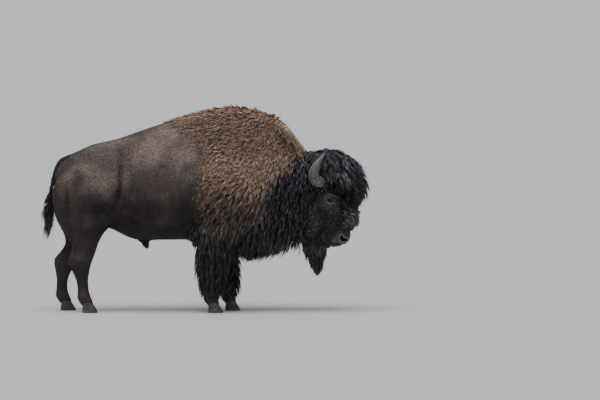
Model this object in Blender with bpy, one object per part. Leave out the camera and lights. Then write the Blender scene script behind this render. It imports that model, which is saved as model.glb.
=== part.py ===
"""American bison bull standing with its head low, life size, as a museum model.

Metres, +Z up, +X towards the head, +Y towards the animal's left. The origin is on the
floor, under the middle of the bull's box. The body is one rounded form made from lofts,
out to the tips of the coat, and it is then parted with thin cuts into named pieces.
"""

import math
from collections import namedtuple

import bmesh
import bpy
from mathutils import Matrix, Vector

# Joints between pieces
CUT_GAP = 0.001  # width of the cuts that part the body
FIT_GAP = 0.0005  # clearance of a piece set in a socket

# How finely the rounded body is made
VOXEL = 0.020
BODY_TRIANGLES = 3150
FINE = (28, 0.03)  # sides of a loft's rings, and their distance
COARSE = (18, 0.06)
SMALL = (12, 0.06)

# Stance: how far each foot is ahead of the right one of its pair
FORE_STRIDE = 0.140
HIND_STRIDE = -0.215
FORE_TRACK = 0.205  # from the middle of the body to the shoulder's middle
HIND_TRACK = 0.165

# Head: the place of its frame, and how steeply the face hangs
POLL = Vector((1.0, 0.0, 1.30))
FACE_PITCH = math.radians(75)

# Small parts
EYE_RADIUS = 0.021
EYE_PLACE = (0.348, -0.012, 0.154)  # down the face, out from it, sideways
CLAW_LENGTH = 0.13
CLAW_WIDTH = 0.056
CLAW_SPLIT = 0.008

Station = namedtuple(
    "Station",
    "along top middle bottom half_width crown keel hair_top hair_side hair_bottom",
)

# Sections of the trunk and neck, upright and square to the body, from rump to nape.
# along is X. top, middle and bottom are heights of the skin, middle where it is widest.
# crown and keel shape the upper and lower half: 1 is an ellipse, more is narrower.
TRUNK = (
    Station(-1.245, 1.255, 1.16, 1.04, 0.090, 0.90, 1.0, 0.012, 0.012, 0.010),
    Station(-1.17, 1.355, 1.12, 0.93, 0.170, 0.85, 1.0, 0.012, 0.012, 0.010),
    Station(-1.08, 1.400, 1.08, 0.86, 0.215, 0.85, 1.0, 0.012, 0.012, 0.010),
    Station(-0.977, 1.448, 1.06, 0.80, 0.240, 0.88, 1.0, 0.012, 0.012, 0.010),
    Station(-0.803, 1.485, 1.06, 0.715, 0.248, 0.95, 0.95, 0.014, 0.012, 0.010),
    Station(-0.69, 1.520, 1.04, 0.662, 0.258, 1.00, 0.95, 0.015, 0.012, 0.010),
    Station(-0.57, 1.563, 1.02, 0.628, 0.292, 1.05, 0.95, 0.018, 0.014, 0.010),
    Station(-0.376, 1.625, 1.00, 0.632, 0.338, 1.18, 0.95, 0.026, 0.018, 0.012),
    Station(-0.181, 1.684, 0.98, 0.634, 0.352, 1.35, 1.0, 0.038, 0.030, 0.016),
    Station(0.0, 1.732, 0.98, 0.625, 0.345, 1.50, 1.05, 0.042, 0.045, 0.030),
    Station(0.20, 1.760, 0.98, 0.610, 0.338, 1.60, 1.1, 0.044, 0.050, 0.070),
    Station(0.402, 1.742, 0.98, 0.600, 0.318, 1.60, 1.1, 0.044, 0.052, 0.145),
    Station(0.576, 1.696, 1.00, 0.650, 0.268, 1.50, 1.0, 0.044, 0.060, 0.132),
    Station(0.692, 1.606, 1.02, 0.710, 0.225, 1.35, 1.0, 0.046, 0.070, 0.160),
    Station(0.790, 1.470, 1.03, 0.770, 0.195, 1.10, 1.0, 0.055, 0.080, 0.190),
    Station(0.870, 1.345, 1.05, 0.820, 0.180, 1.00, 1.0, 0.060, 0.080, 0.215),
    Station(0.950, 1.240, 1.06, 0.880, 0.150, 1.00, 1.0, 0.060, 0.070, 0.200),
)

# Sections of the head, square to the face. along runs from the poll down the face; top
# is the forehead and nose, bottom the jaw.
HEAD = (
    Station(0.045, 0.035, -0.05, -0.12, 0.085, 1.0, 1.0, 0.060, 0.060, 0.030),
    Station(0.10, 0.085, -0.05, -0.17, 0.130, 0.85, 1.0, 0.050, 0.060, 0.035),
    Station(0.19, 0.130, -0.03, -0.215, 0.155, 0.75, 1.0, 0.040, 0.045, 0.045),
    Station(0.28, 0.138, -0.03, -0.228, 0.160, 0.72, 1.0, 0.035, 0.028, 0.050),
    Station(0.348, 0.128, -0.03, -0.225, 0.154, 0.72, 1.0, 0.032, 0.010, 0.055),
    Station(0.43, 0.108, -0.03, -0.205, 0.124, 0.75, 1.0, 0.030, 0.026, 0.055),
    Station(0.52, 0.094, -0.03, -0.165, 0.094, 0.80, 0.95, 0.026, 0.028, 0.045),
    Station(0.59, 0.090, -0.02, -0.132, 0.080, 0.80, 0.9, 0.016, 0.012, 0.020),
    Station(0.65, 0.092, -0.01, -0.116, 0.077, 0.75, 0.85, 0.003, 0.004, 0.008),
    Station(0.70, 0.080, -0.01, -0.108, 0.074, 0.75, 0.85, 0.002, 0.002, 0.003),
    Station(0.735, 0.050, -0.02, -0.098, 0.060, 0.80, 0.85, 0.002, 0.002, 0.002),
    Station(0.748, 0.015, -0.03, -0.085, 0.035, 0.90, 0.9, 0.002, 0.002, 0.002),
)

# Sections of the bonnet of long hair on the forehead, in the head's frame.
FORELOCK = (
    Station(-0.100, 0.020, -0.03, -0.10, 0.085, 1.0, 1.0, 0.0, 0.0, 0.0),
    Station(-0.070, 0.130, 0.02, -0.14, 0.165, 0.9, 1.0, 0.0, 0.0, 0.0),
    Station(0.00, 0.242, 0.05, -0.15, 0.205, 0.8, 1.0, 0.0, 0.0, 0.0),
    Station(0.10, 0.306, 0.07, -0.12, 0.215, 0.8, 1.0, 0.0, 0.0, 0.0),
    Station(0.20, 0.336, 0.08, -0.06, 0.210, 0.8, 1.0, 0.0, 0.0, 0.0),
    Station(0.29, 0.330, 0.08, 0.00, 0.196, 0.85, 1.0, 0.0, 0.0, 0.0),
    Station(0.38, 0.285, 0.07, 0.02, 0.168, 0.9, 1.0, 0.0, 0.0, 0.0),
    Station(0.455, 0.218, 0.06, 0.02, 0.130, 0.9, 1.0, 0.0, 0.0, 0.0),
    Station(0.53, 0.206, 0.05, 0.01, 0.104, 0.9, 1.0, 0.0, 0.0, 0.0),
    Station(0.588, 0.178, 0.05, 0.01, 0.086, 0.9, 1.0, 0.0, 0.0, 0.0),
    Station(0.618, 0.120, 0.05, 0.03, 0.060, 1.0, 1.0, 0.0, 0.0, 0.0),
)

# Sections of the beard, level, from its tip up. top is its front and bottom its back.
BEARD = (
    Station(0.353, 0.985, 0.965, 0.945, 0.012, 1.0, 1.0, 0.0, 0.0, 0.0),
    Station(0.39, 1.012, 0.965, 0.925, 0.030, 1.0, 1.0, 0.0, 0.0, 0.0),
    Station(0.46, 1.032, 0.960, 0.888, 0.050, 1.0, 1.0, 0.0, 0.0, 0.0),
    Station(0.55, 1.055, 0.955, 0.852, 0.070, 1.0, 1.0, 0.0, 0.0, 0.0),
    Station(0.63, 1.078, 0.965, 0.850, 0.078, 1.0, 1.0, 0.0, 0.0, 0.0),
    Station(0.70, 1.080, 0.975, 0.870, 0.070, 1.0, 1.0, 0.0, 0.0, 0.0),
    Station(0.74, 1.060, 0.980, 0.900, 0.050, 1.0, 1.0, 0.0, 0.0, 0.0),
)

# Sections of the right hind leg, level, from the pastern up. along is Z, top the front
# and bottom the back of the leg, as X.
HIND_LEG = (
    Station(0.055, -0.965, -1.015, -1.062, 0.040, 0.9, 0.9, 0.004, 0.004, 0.004),
    Station(0.085, -0.968, -1.022, -1.078, 0.043, 0.9, 0.9, 0.005, 0.005, 0.005),
    Station(0.13, -0.988, -1.040, -1.104, 0.047, 0.9, 0.9, 0.005, 0.005, 0.006),
    Station(0.18, -1.004, -1.050, -1.098, 0.037, 0.9, 0.9, 0.005, 0.005, 0.005),
    Station(0.28, -1.012, -1.060, -1.112, 0.037, 0.9, 0.9, 0.005, 0.005, 0.005),
    Station(0.36, -1.000, -1.070, -1.148, 0.045, 0.9, 0.9, 0.005, 0.005, 0.005),
    Station(0.42, -0.988, -1.075, -1.180, 0.050, 0.9, 1.2, 0.005, 0.005, 0.005),
    Station(0.465, -0.970, -1.070, -1.188, 0.052, 0.9, 1.4, 0.005, 0.005, 0.005),
    Station(0.52, -0.950, -1.045, -1.162, 0.058, 0.9, 1.5, 0.005, 0.005, 0.005),
    Station(0.59, -0.928, -1.020, -1.150, 0.072, 0.9, 1.3, 0.006, 0.006, 0.006),
    Station(0.66, -0.895, -1.020, -1.185, 0.092, 0.9, 1.1, 0.008, 0.008, 0.008),
    Station(0.74, -0.835, -1.020, -1.245, 0.112, 0.9, 1.0, 0.010, 0.010, 0.010),
    Station(0.84, -0.740, -1.015, -1.288, 0.128, 0.9, 0.9, 0.012, 0.012, 0.012),
    Station(0.95, -0.705, -1.000, -1.308, 0.136, 0.9, 0.85, 0.012, 0.012, 0.012),
    Station(1.07, -0.710, -0.990, -1.306, 0.132, 0.9, 0.85, 0.012, 0.012, 0.012),
    Station(1.19, -0.745, -0.980, -1.262, 0.118, 1.0, 0.9, 0.012, 0.012, 0.012),
    Station(1.30, -0.820, -0.980, -1.180, 0.090, 1.0, 1.0, 0.012, 0.012, 0.012),
)

# Sections of the right foreleg with its breeches of long hair, as HIND_LEG.
FORE_LEG = (
    Station(0.055, 0.118, 0.075, 0.025, 0.040, 0.9, 0.9, 0.004, 0.004, 0.004),
    Station(0.085, 0.120, 0.070, 0.012, 0.043, 0.9, 0.9, 0.005, 0.005, 0.005),
    Station(0.125, 0.112, 0.060, 0.000, 0.048, 0.9, 0.9, 0.005, 0.005, 0.006),
    Station(0.158, 0.104, 0.060, 0.014, 0.040, 0.9, 0.9, 0.012, 0.012, 0.014),
    Station(0.20, 0.104, 0.060, 0.022, 0.038, 0.9, 0.9, 0.062, 0.045, 0.062),
    Station(0.28, 0.110, 0.062, 0.020, 0.041, 0.9, 0.9, 0.072, 0.056, 0.085),
    Station(0.36, 0.126, 0.068, 0.014, 0.052, 0.9, 0.9, 0.082, 0.060, 0.098),
    Station(0.42, 0.132, 0.070, 0.010, 0.056, 0.9, 0.9, 0.088, 0.062, 0.106),
    Station(0.52, 0.150, 0.070, -0.008, 0.064, 0.9, 0.9, 0.088, 0.062, 0.102),
    Station(0.64, 0.215, 0.085, -0.040, 0.086, 0.9, 0.9, 0.070, 0.054, 0.066),
    Station(0.75, 0.300, 0.110, -0.060, 0.105, 0.9, 0.9, 0.056, 0.046, 0.046),
    Station(0.90, 0.375, 0.160, -0.062, 0.120, 0.9, 0.9, 0.046, 0.044, 0.040),
    Station(1.08, 0.410, 0.190, -0.050, 0.116, 1.0, 1.0, 0.044, 0.044, 0.040),
    Station(1.28, 0.400, 0.220, 0.040, 0.080, 1.0, 1.0, 0.044, 0.044, 0.040),
)

# How far the sections of a leg stand from the middle of the body: height, share of track
FORE_SPLAY = ((0.0, 0.83), (0.45, 0.92), (0.75, 1.0), (1.0, 0.98), (1.3, 0.82))
HIND_SPLAY = ((0.0, 1.06), (0.45, 1.04), (0.75, 1.0), (1.0, 0.96), (1.3, 0.80))

# The sheath under the belly, with its tuft, from the tip up, as HIND_LEG.
SHEATH = (
    Station(0.548, -0.498, -0.508, -0.520, 0.010, 1.0, 1.0, 0.0, 0.0, 0.0),
    Station(0.58, -0.480, -0.508, -0.538, 0.022, 1.0, 1.0, 0.0, 0.0, 0.0),
    Station(0.61, -0.465, -0.522, -0.592, 0.036, 1.0, 1.0, 0.0, 0.0, 0.0),
    Station(0.66, -0.450, -0.540, -0.655, 0.045, 1.0, 1.0, 0.0, 0.0, 0.0),
)

# Centre lines with radii, for the right horn, the tail and its tuft
HORN = (
    ((1.005, -0.100, 1.145), 0.048),
    ((0.988, -0.195, 1.133), 0.048),
    ((0.955, -0.283, 1.146), 0.047),
    ((0.937, -0.333, 1.200), 0.044),
    ((0.958, -0.338, 1.265), 0.035),
    ((0.993, -0.325, 1.322), 0.021),
    ((1.036, -0.300, 1.388), 0.003),
)
TAIL = (
    ((-1.110, 0.0, 1.335), 0.034),
    ((-1.180, 0.0, 1.345), 0.032),
    ((-1.262, 0.0, 1.300), 0.026),
    ((-1.318, 0.0, 1.190), 0.021),
    ((-1.342, 0.0, 1.060), 0.020),
    ((-1.352, 0.0, 0.960), 0.022),
)
TAIL_TUFT = (
    ((-1.352, 0.0, 0.957), 0.022),
    ((-1.349, 0.0, 0.880), 0.040),
    ((-1.347, 0.0, 0.800), 0.046),
    ((-1.350, 0.0, 0.720), 0.028),
    ((-1.356, 0.0, 0.628), 0.005),
)

# The right ear, from its root to its tip: place, and half its width
EAR = (
    ((0.972, -0.150, 1.040), 0.020),
    ((0.945, -0.195, 1.030), 0.034),
    ((0.918, -0.240, 1.012), 0.040),
    ((0.888, -0.282, 0.988), 0.032),
    ((0.862, -0.312, 0.965), 0.010),
)
EAR_THICKNESS = 0.014
EAR_CUP = 0.016

# Material: colour, roughness
SHORT_COAT = ("short_coat", (0.062, 0.044, 0.036), 0.75)
CAPE_COAT = ("cape_coat", (0.150, 0.092, 0.055), 0.90)
DARK_COAT = ("dark_coat", (0.022, 0.017, 0.017), 0.90)
HORN_SHEATH = ("horn_sheath", (0.240, 0.225, 0.205), 0.50)
HOOF_HORN = ("hoof_horn", (0.045, 0.038, 0.034), 0.55)
EYE_GLASS = ("eye_glass", (0.020, 0.012, 0.008), 0.05)


def empty_scene():
    for obj in list(bpy.data.objects):
        bpy.data.objects.remove(obj)


def material(kind):
    """The material of a kind such as SHORT_COAT, made on first use."""
    name, colour, roughness = kind
    found = bpy.data.materials.get(name)
    if found:
        return found
    made = bpy.data.materials.new(name)
    made.use_nodes = True
    shader = made.node_tree.nodes["Principled BSDF"]
    shader.inputs["Base Color"].default_value = (*colour, 1.0)
    shader.inputs["Roughness"].default_value = roughness
    return made


def link(name, mesh):
    obj = bpy.data.objects.new(name, mesh)
    bpy.context.scene.collection.objects.link(obj)
    return obj


def object_from(name, bm):
    """A new object from a bmesh, with its faces turned outwards."""
    bmesh.ops.recalc_face_normals(bm, faces=bm.faces)
    mesh = bpy.data.meshes.new(name)
    bm.to_mesh(mesh)
    bm.free()
    return link(name, mesh)


def baked(obj, name=None):
    """Replaces an object's mesh with the one its modifiers make, and keeps its name."""
    graph = bpy.context.evaluated_depsgraph_get()
    mesh = bpy.data.meshes.new_from_object(obj.evaluated_get(graph))
    mesh.transform(obj.matrix_world)
    made = link(name or obj.name + "_baked", mesh)
    bpy.data.objects.remove(obj)
    return made


def between(table, at):
    """A smooth curve through (place, value) rows, read at a place."""
    at = min(max(at, table[0][0]), table[-1][0])
    i = max(k for k in range(len(table) - 1) if table[k][0] <= at)
    (x0, y0), (x1, y1) = table[i], table[i + 1]
    before, after = table[max(i - 1, 0)], table[min(i + 2, len(table) - 1)]
    slope0 = (y1 - before[1]) / (x1 - before[0])
    slope1 = (after[1] - y0) / (after[0] - x0)
    span, t = x1 - x0, (at - x0) / (x1 - x0)
    return (
        (2 * t**3 - 3 * t**2 + 1) * y0
        + (t**3 - 2 * t**2 + t) * span * slope0
        + (3 * t**2 - 2 * t**3) * y1
        + (t**3 - t**2) * span * slope1
    )


def filled_in(stations, step):
    """The stations with more between them, on smooth curves, a step apart or less."""
    rows = []
    for first, last in zip(stations, stations[1:]):
        steps = math.ceil((last.along - first.along) / step)
        rows += [first.along + (last.along - first.along) * i / steps for i in range(steps)]
    rows.append(stations[-1].along)
    return [
        Station(*(between([(s.along, s[k]) for s in stations], at) for k in range(len(Station._fields))))
        for at in rows
    ]


def loft(name, stations, origin, along, up, shift=None, detail=FINE):
    """A closed tube through stations. Their frame has its origin and two directions; its
    third is sideways. shift gives a section's (up, sideways) offset from its along."""
    sides, step = detail
    side = Vector((0.0, 1.0, 0.0))
    bm = bmesh.new()
    rings = []
    for s in filled_in(stations, step):
        lift, across = shift(s.along) if shift else (0.0, 0.0)
        ring = []
        for i in range(sides):
            rise = math.cos(2 * math.pi * i / sides)
            reach = math.sin(2 * math.pi * i / sides)
            if rise >= 0:
                height, bend = s.top - s.middle + s.hair_top, s.crown
            else:
                height, bend = s.middle - s.bottom + s.hair_bottom, s.keel
            out = math.copysign(abs(reach) ** bend, reach) * (s.half_width + s.hair_side)
            place = origin + along * s.along + up * (s.middle + height * rise + lift)
            ring.append(bm.verts.new(place + side * (out + across)))
        rings.append(ring)
    for ring, following in zip(rings, rings[1:]):
        for i in range(sides):
            j = (i + 1) % sides
            bm.faces.new((ring[i], ring[j], following[j], following[i]))
    bm.faces.new(rings[0])
    bm.faces.new(rings[-1])
    return object_from(name, bm)


def smooth_step(t):
    t = min(max(t, 0.0), 1.0)
    return t * t * (3 - 2 * t)


def head_point(down, out, aside=0.0):
    """A point in the head's frame: down the face, out from it, and sideways."""
    along = Vector((math.cos(FACE_PITCH), 0.0, -math.sin(FACE_PITCH)))
    up = Vector((math.sin(FACE_PITCH), 0.0, math.cos(FACE_PITCH)))
    return POLL + along * down + up * out + Vector((0.0, aside, 0.0))


def head_loft(name, stations, detail=FINE):
    along = head_point(1, 0) - POLL
    up = head_point(0, 1) - POLL
    return loft(name, stations, POLL, along, up, detail=detail)


def upright_loft(name, stations, shift=None, detail=FINE):
    """A loft through level sections, whose along is Z and whose top is the front."""
    return loft(name, stations, Vector(), Vector((0, 0, 1)), Vector((1, 0, 0)), shift, detail)


def leg(name, stations, side, track, splay, stride, hip):
    """One leg. side is -1 for the right and 1 for the left, which is a stride ahead at
    the floor and level with the right one at the height hip."""

    def shift(height):
        ahead = stride * smooth_step((hip - height) / (hip - 0.15)) if side > 0 else 0.0
        return ahead, side * track * between(splay, height)

    return upright_loft(name, stations, shift)


def tube(name, centres):
    """A round tube through (place, radius) rows, as a bevelled curve made a mesh."""
    curve = bpy.data.curves.new(name, "CURVE")
    curve.dimensions = "3D"
    curve.bevel_depth = 1.0
    curve.bevel_resolution = 2
    curve.resolution_u = 3
    curve.use_fill_caps = True
    spline = curve.splines.new("BEZIER")
    spline.bezier_points.add(len(centres) - 1)
    for point, (place, radius) in zip(spline.bezier_points, centres):
        point.co = place
        point.radius = radius
        point.handle_left_type = point.handle_right_type = "AUTO"
    obj = baked(link(name + "_line", curve), name)
    welded = bmesh.new()
    welded.from_mesh(obj.data)
    bmesh.ops.remove_doubles(welded, verts=welded.verts, dist=1e-5)
    bmesh.ops.recalc_face_normals(welded, faces=welded.faces)
    welded.to_mesh(obj.data)
    welded.free()
    return obj


def left_of(obj, name):
    """A mirrored copy for the other side of the animal."""
    mesh = obj.data.copy()
    mesh.transform(Matrix.Scale(-1, 4, (0, 1, 0)))
    mesh.flip_normals()
    return link(name, mesh)


def grown(obj, by=FIT_GAP):
    """A copy of an object, thicker all round, that cuts the socket for it."""
    copy = link(obj.name + "_socket", obj.data.copy())
    modifier = copy.modifiers.new("clearance", "DISPLACE")
    modifier.strength = by
    modifier.mid_level = 0.0
    made = baked(copy, obj.name + "_cutter")
    made.hide_render = True
    made.display_type = "WIRE"
    return made


def cut(obj, cutter, operation="DIFFERENCE"):
    """The object with the cutter taken away, or only what they share."""
    modifier = obj.modifiers.new("cut", "BOOLEAN")
    modifier.operation = operation
    modifier.solver = "EXACT"
    modifier.object = cutter
    name = obj.name
    made = baked(obj)
    made.name = name
    return made


def without_crumbs(obj):
    """Drops the crumbs that a cut left beside an object's main body."""
    bm = bmesh.new()
    bm.from_mesh(obj.data)
    left, bodies = set(bm.verts), []
    while left:
        reached, edge = set(), [next(iter(left))]
        while edge:
            vertex = edge.pop()
            if vertex not in reached:
                reached.add(vertex)
                edge += [e.other_vert(vertex) for e in vertex.link_edges]
        left -= reached
        bodies.append(reached)
    largest = max(bodies, key=len)
    for body in bodies:
        if body is not largest:
            bmesh.ops.delete(bm, geom=list(body), context="VERTS")
    bm.to_mesh(obj.data)
    bm.free()
    return obj


def wedge(low, high, lean=0.0, spread=0.0):
    """A box cutter between two corners. Its faces along X lean forwards by lean for each
    metre up, and its top leans back to front by spread for each metre forwards."""
    bm = bmesh.new()
    bmesh.ops.create_cube(bm, size=1.0)
    for vertex in bm.verts:
        x, y, z = ((b + a) / 2 + (b - a) * c for a, b, c in zip(low, high, vertex.co))
        if vertex.co.z > 0:
            z += spread * (x - low[0])
        vertex.co = (x + lean * z, y, z)
    return object_from("region", bm)


def part_off(body, name, low, high, lean=0.0, spread=0.0):
    """Cuts the piece of the body inside a wedge free, with a thin gap round it."""
    piece = link(name, body.data.copy())
    inside = wedge(low, high, lean, spread)
    piece = cut(piece, inside, "INTERSECT")
    around = grown(inside, CUT_GAP)
    body = cut(body, around)
    for cutter in (inside, around):
        bpy.data.objects.remove(cutter)
    return without_crumbs(body), without_crumbs(piece)


def whole_body():
    """The trunk, neck, head, sheath and legs as one rounded form, out to the coat."""
    forms = [
        loft("trunk_form", TRUNK, Vector(), Vector((1, 0, 0)), Vector((0, 0, 1))),
        head_loft("head_form", HEAD),
        upright_loft("sheath_form", SHEATH),
    ]
    for side in (-1, 1):
        forms.append(leg("fore_form", FORE_LEG, side, FORE_TRACK, FORE_SPLAY, FORE_STRIDE, 0.75))
        forms.append(leg("hind_form", HIND_LEG, side, HIND_TRACK, HIND_SPLAY, HIND_STRIDE, 0.92))
    together = bmesh.new()
    for form in forms:
        together.from_mesh(form.data)
        bpy.data.objects.remove(form)
    body = object_from("body", together)
    remesh = body.modifiers.new("one skin", "REMESH")
    remesh.mode = "VOXEL"
    remesh.voxel_size = VOXEL
    smooth = body.modifiers.new("soften", "SMOOTH")
    smooth.factor = 0.5
    smooth.iterations = 3
    body = baked(body, "body")
    thin = body.modifiers.new("fewer faces", "DECIMATE")
    thin.ratio = BODY_TRIANGLES / (2 * len(body.data.polygons))
    thin.use_collapse_triangulate = True
    return baked(body, "trunk")


def ear(name):
    """The right ear: a cupped leaf, open towards the front."""
    rows = []
    bm = bmesh.new()
    line = [Vector(place) for place, _ in EAR]
    for i, (centre, (_, half)) in enumerate(zip(line, EAR)):
        run = (line[min(i + 1, len(line) - 1)] - line[max(i - 1, 0)]).normalized()
        across = run.cross(Vector((0.35, -0.35, 1.0))).cross(run).normalized()
        back = run.cross(across).normalized()
        if back.x > 0:
            back.negate()
        row = []
        for k in range(-2, 3):
            share = k / 2
            deep = EAR_CUP * (1 - share**2) * half / 0.040
            row.append(bm.verts.new(centre + across * half * share + back * deep))
        rows.append(row)
    for row, following in zip(rows, rows[1:]):
        for k in range(4):
            bm.faces.new((row[k], row[k + 1], following[k + 1], following[k]))
    leaf = object_from(name + "_leaf", bm)
    thick = leaf.modifiers.new("thickness", "SOLIDIFY")
    thick.thickness = EAR_THICKNESS
    thick.offset = 0.0
    return baked(leaf, name)


def eye(name, side):
    down, out, aside = EYE_PLACE
    bm = bmesh.new()
    bmesh.ops.create_uvsphere(bm, u_segments=12, v_segments=8, radius=EYE_RADIUS)
    bmesh.ops.translate(bm, verts=bm.verts, vec=head_point(down, out, side * aside))
    return object_from(name, bm)


def claw(name, foot, side):
    """One hoof claw on the floor, on the given side of a foot's middle."""
    toe, heel = CLAW_LENGTH * 0.58, CLAW_LENGTH * 0.42
    half = CLAW_WIDTH / 2
    sections = (
        Station(0.0, toe, 0.0, -heel, half, 0.8, 0.8, 0.0, 0.0, 0.0),
        Station(0.012, toe, 0.0, -heel, half, 0.8, 0.8, 0.0, 0.0, 0.0),
        Station(0.045, toe * 0.72, 0.0, -heel, half * 0.95, 0.8, 0.8, 0.0, 0.0, 0.0),
        Station(0.085, toe * 0.38, 0.0, -heel * 0.8, half * 0.85, 0.9, 0.8, 0.0, 0.0, 0.0),
    )
    middle = foot.y + side * (half + CLAW_SPLIT / 2)
    return upright_loft(name, sections, lambda _: (foot.x, middle), SMALL)


def dewclaw(name, foot, side):
    """A small claw behind the fetlock."""
    bm = bmesh.new()
    bmesh.ops.create_cone(
        bm, cap_ends=True, segments=10, radius1=0.013, radius2=0.008, depth=0.04
    )
    tilt = Matrix.Rotation(math.radians(-35), 4, "Y")
    place = Matrix.Translation(foot + Vector((-0.074, side * 0.021, 0.102)))
    bmesh.ops.transform(bm, matrix=place @ tilt, verts=bm.verts)
    return object_from(name, bm)


def feet():
    """The middle of each foot on the floor, by the leg's name."""
    places = {}
    for end, x, track, splay, stride in (
        ("fore", 0.080, FORE_TRACK, FORE_SPLAY, FORE_STRIDE),
        ("hind", -1.005, HIND_TRACK, HIND_SPLAY, HIND_STRIDE),
    ):
        for word, side in (("right", -1), ("left", 1)):
            ahead = stride if side > 0 else 0.0
            places[f"{end}_{word}"] = Vector((x + ahead, side * track * splay[0][1], 0.0))
    return places


def finish(obj, kind):
    """Gives a finished piece its material and soft shading."""
    obj.data.materials.clear()
    obj.data.materials.append(material(kind))
    obj.data.shade_smooth()
    obj.data.set_sharp_from_angle(angle=math.radians(40))


def build():
    empty_scene()
    body = whole_body()

    # What is set into the body, and stays whole
    inserts = {
        "horn_right": (tube("horn_right", HORN), HORN_SHEATH),
        "tail": (tube("tail", TAIL), DARK_COAT),
        "ear_right": (ear("ear_right"), DARK_COAT),
        "eye_right": (eye("eye_right", -1), EYE_GLASS),
        "eye_left": (eye("eye_left", 1), EYE_GLASS),
    }
    for kind in ("horn", "ear"):
        right, finish_kind = inserts[kind + "_right"]
        inserts[kind + "_left"] = (left_of(right, kind + "_left"), finish_kind)
    for name, foot in feet().items():
        for place, side in (("inner", -1), ("outer", 1)):
            outwards = side * math.copysign(1, foot.y)
            claw_name = f"dewclaw_{name}_{place}"
            inserts[claw_name] = (dewclaw(claw_name, foot, outwards), HOOF_HORN)
    around = grown(body)
    sockets = {name: grown(piece) for name, (piece, _) in inserts.items()}
    for socket in sockets.values():
        body = cut(body, socket)

    # What covers the body from outside, and is cut to fit it
    pieces = []
    for name, piece, kind in (
        ("forelock", head_loft("forelock", FORELOCK, COARSE), DARK_COAT),
        ("beard", upright_loft("beard", BEARD, detail=SMALL), DARK_COAT),
        ("tail_tuft", tube("tail_tuft", TAIL_TUFT), DARK_COAT),
    ):
        piece = cut(piece, around)
        if name == "forelock":
            for side in ("right", "left"):
                piece = cut(piece, sockets[f"horn_{side}"])
                piece = cut(piece, sockets[f"ear_{side}"])
        if name == "tail_tuft":
            piece = cut(piece, sockets["tail"])
        pieces.append((without_crumbs(piece), kind))
    for name, foot in feet().items():
        for place, side in (("inner", -1), ("outer", 1)):
            outwards = side * math.copysign(1, foot.y)
            hoof = claw(f"hoof_{name}_{place}", foot, outwards)
            pieces.append((without_crumbs(cut(hoof, around)), HOOF_HORN))

    # The body parted with thin cuts
    body, head = part_off(body, "head", (0.72, -1, 0.0), (2.0, 1, 2.0), lean=0.115)
    body, neck = part_off(body, "neck", (0.405, -1, 0.0), (0.80, 1, 2.2), lean=0.13)
    pieces += [(head, DARK_COAT), (neck, CAPE_COAT)]
    for word, side in (("right", -1), ("left", 1)):
        inner, outer = sorted((0.045 * side, 1.0 * side))
        reach = 0.38 if side > 0 else 0.32
        body, fore = part_off(body, f"leg_fore_{word}", (-0.22, inner, -0.1), (reach, outer, 0.60))
        body, hind = part_off(
            body, f"leg_hind_{word}", (-1.6, inner, -0.1), (-0.78, outer, 1.1), spread=-0.475
        )
        pieces += [(fore, DARK_COAT), (hind, SHORT_COAT)]
    pieces.append((body, SHORT_COAT))

    for cutter in (around, *sockets.values()):
        bpy.data.objects.remove(cutter)
    pieces += inserts.values()
    for piece, kind in pieces:
        finish(piece, kind)


build()
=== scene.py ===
"""A bison bull in his summer coat: skin, hair, horns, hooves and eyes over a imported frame.

The skin is one form made from the same sections as the frame's solids, without the coat.
The coat is locks of hair, each a thin closed solid, rooted on the skin and combed along it.
"""

import math

import bmesh
import bpy
import numpy as np
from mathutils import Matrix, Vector
from mathutils.bvhtree import BVHTree
from mathutils.kdtree import KDTree


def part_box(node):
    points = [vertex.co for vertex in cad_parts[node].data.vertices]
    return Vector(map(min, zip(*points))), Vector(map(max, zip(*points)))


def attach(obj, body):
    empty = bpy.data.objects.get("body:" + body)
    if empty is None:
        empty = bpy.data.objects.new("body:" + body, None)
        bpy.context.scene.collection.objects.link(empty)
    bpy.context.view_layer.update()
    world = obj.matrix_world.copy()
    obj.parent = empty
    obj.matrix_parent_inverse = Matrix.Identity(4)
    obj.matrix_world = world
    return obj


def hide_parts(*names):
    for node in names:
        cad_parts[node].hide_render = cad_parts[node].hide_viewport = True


bl_info = {
    "name": "Bison Bull",
    "version": (1, 0, 0),
    "blender": (4, 5, 0),
    "location": "3D View > Sidebar > Bison",
    "description": "Skin, coat, horns, hooves and eyes of a life-size bison bull",
    "category": "Object",
}

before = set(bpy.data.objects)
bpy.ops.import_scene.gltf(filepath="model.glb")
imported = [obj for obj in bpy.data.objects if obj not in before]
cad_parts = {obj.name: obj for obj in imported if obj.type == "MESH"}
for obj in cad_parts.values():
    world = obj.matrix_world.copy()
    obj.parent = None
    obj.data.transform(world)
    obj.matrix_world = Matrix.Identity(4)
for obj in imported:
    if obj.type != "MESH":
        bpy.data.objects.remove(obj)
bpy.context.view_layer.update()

SKIN = "bison_skin"
MAP = "OFBake"
PATCH = 0.0028  # of the map, for each lock
OUTER_GRAIN = 0.016  # size of the faces of the form that the coat fills
DEEPEST = 0.20  # the coat's depth is looked for this far out
SHORT_DEPTH = 0.010  # of the short coat

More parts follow.
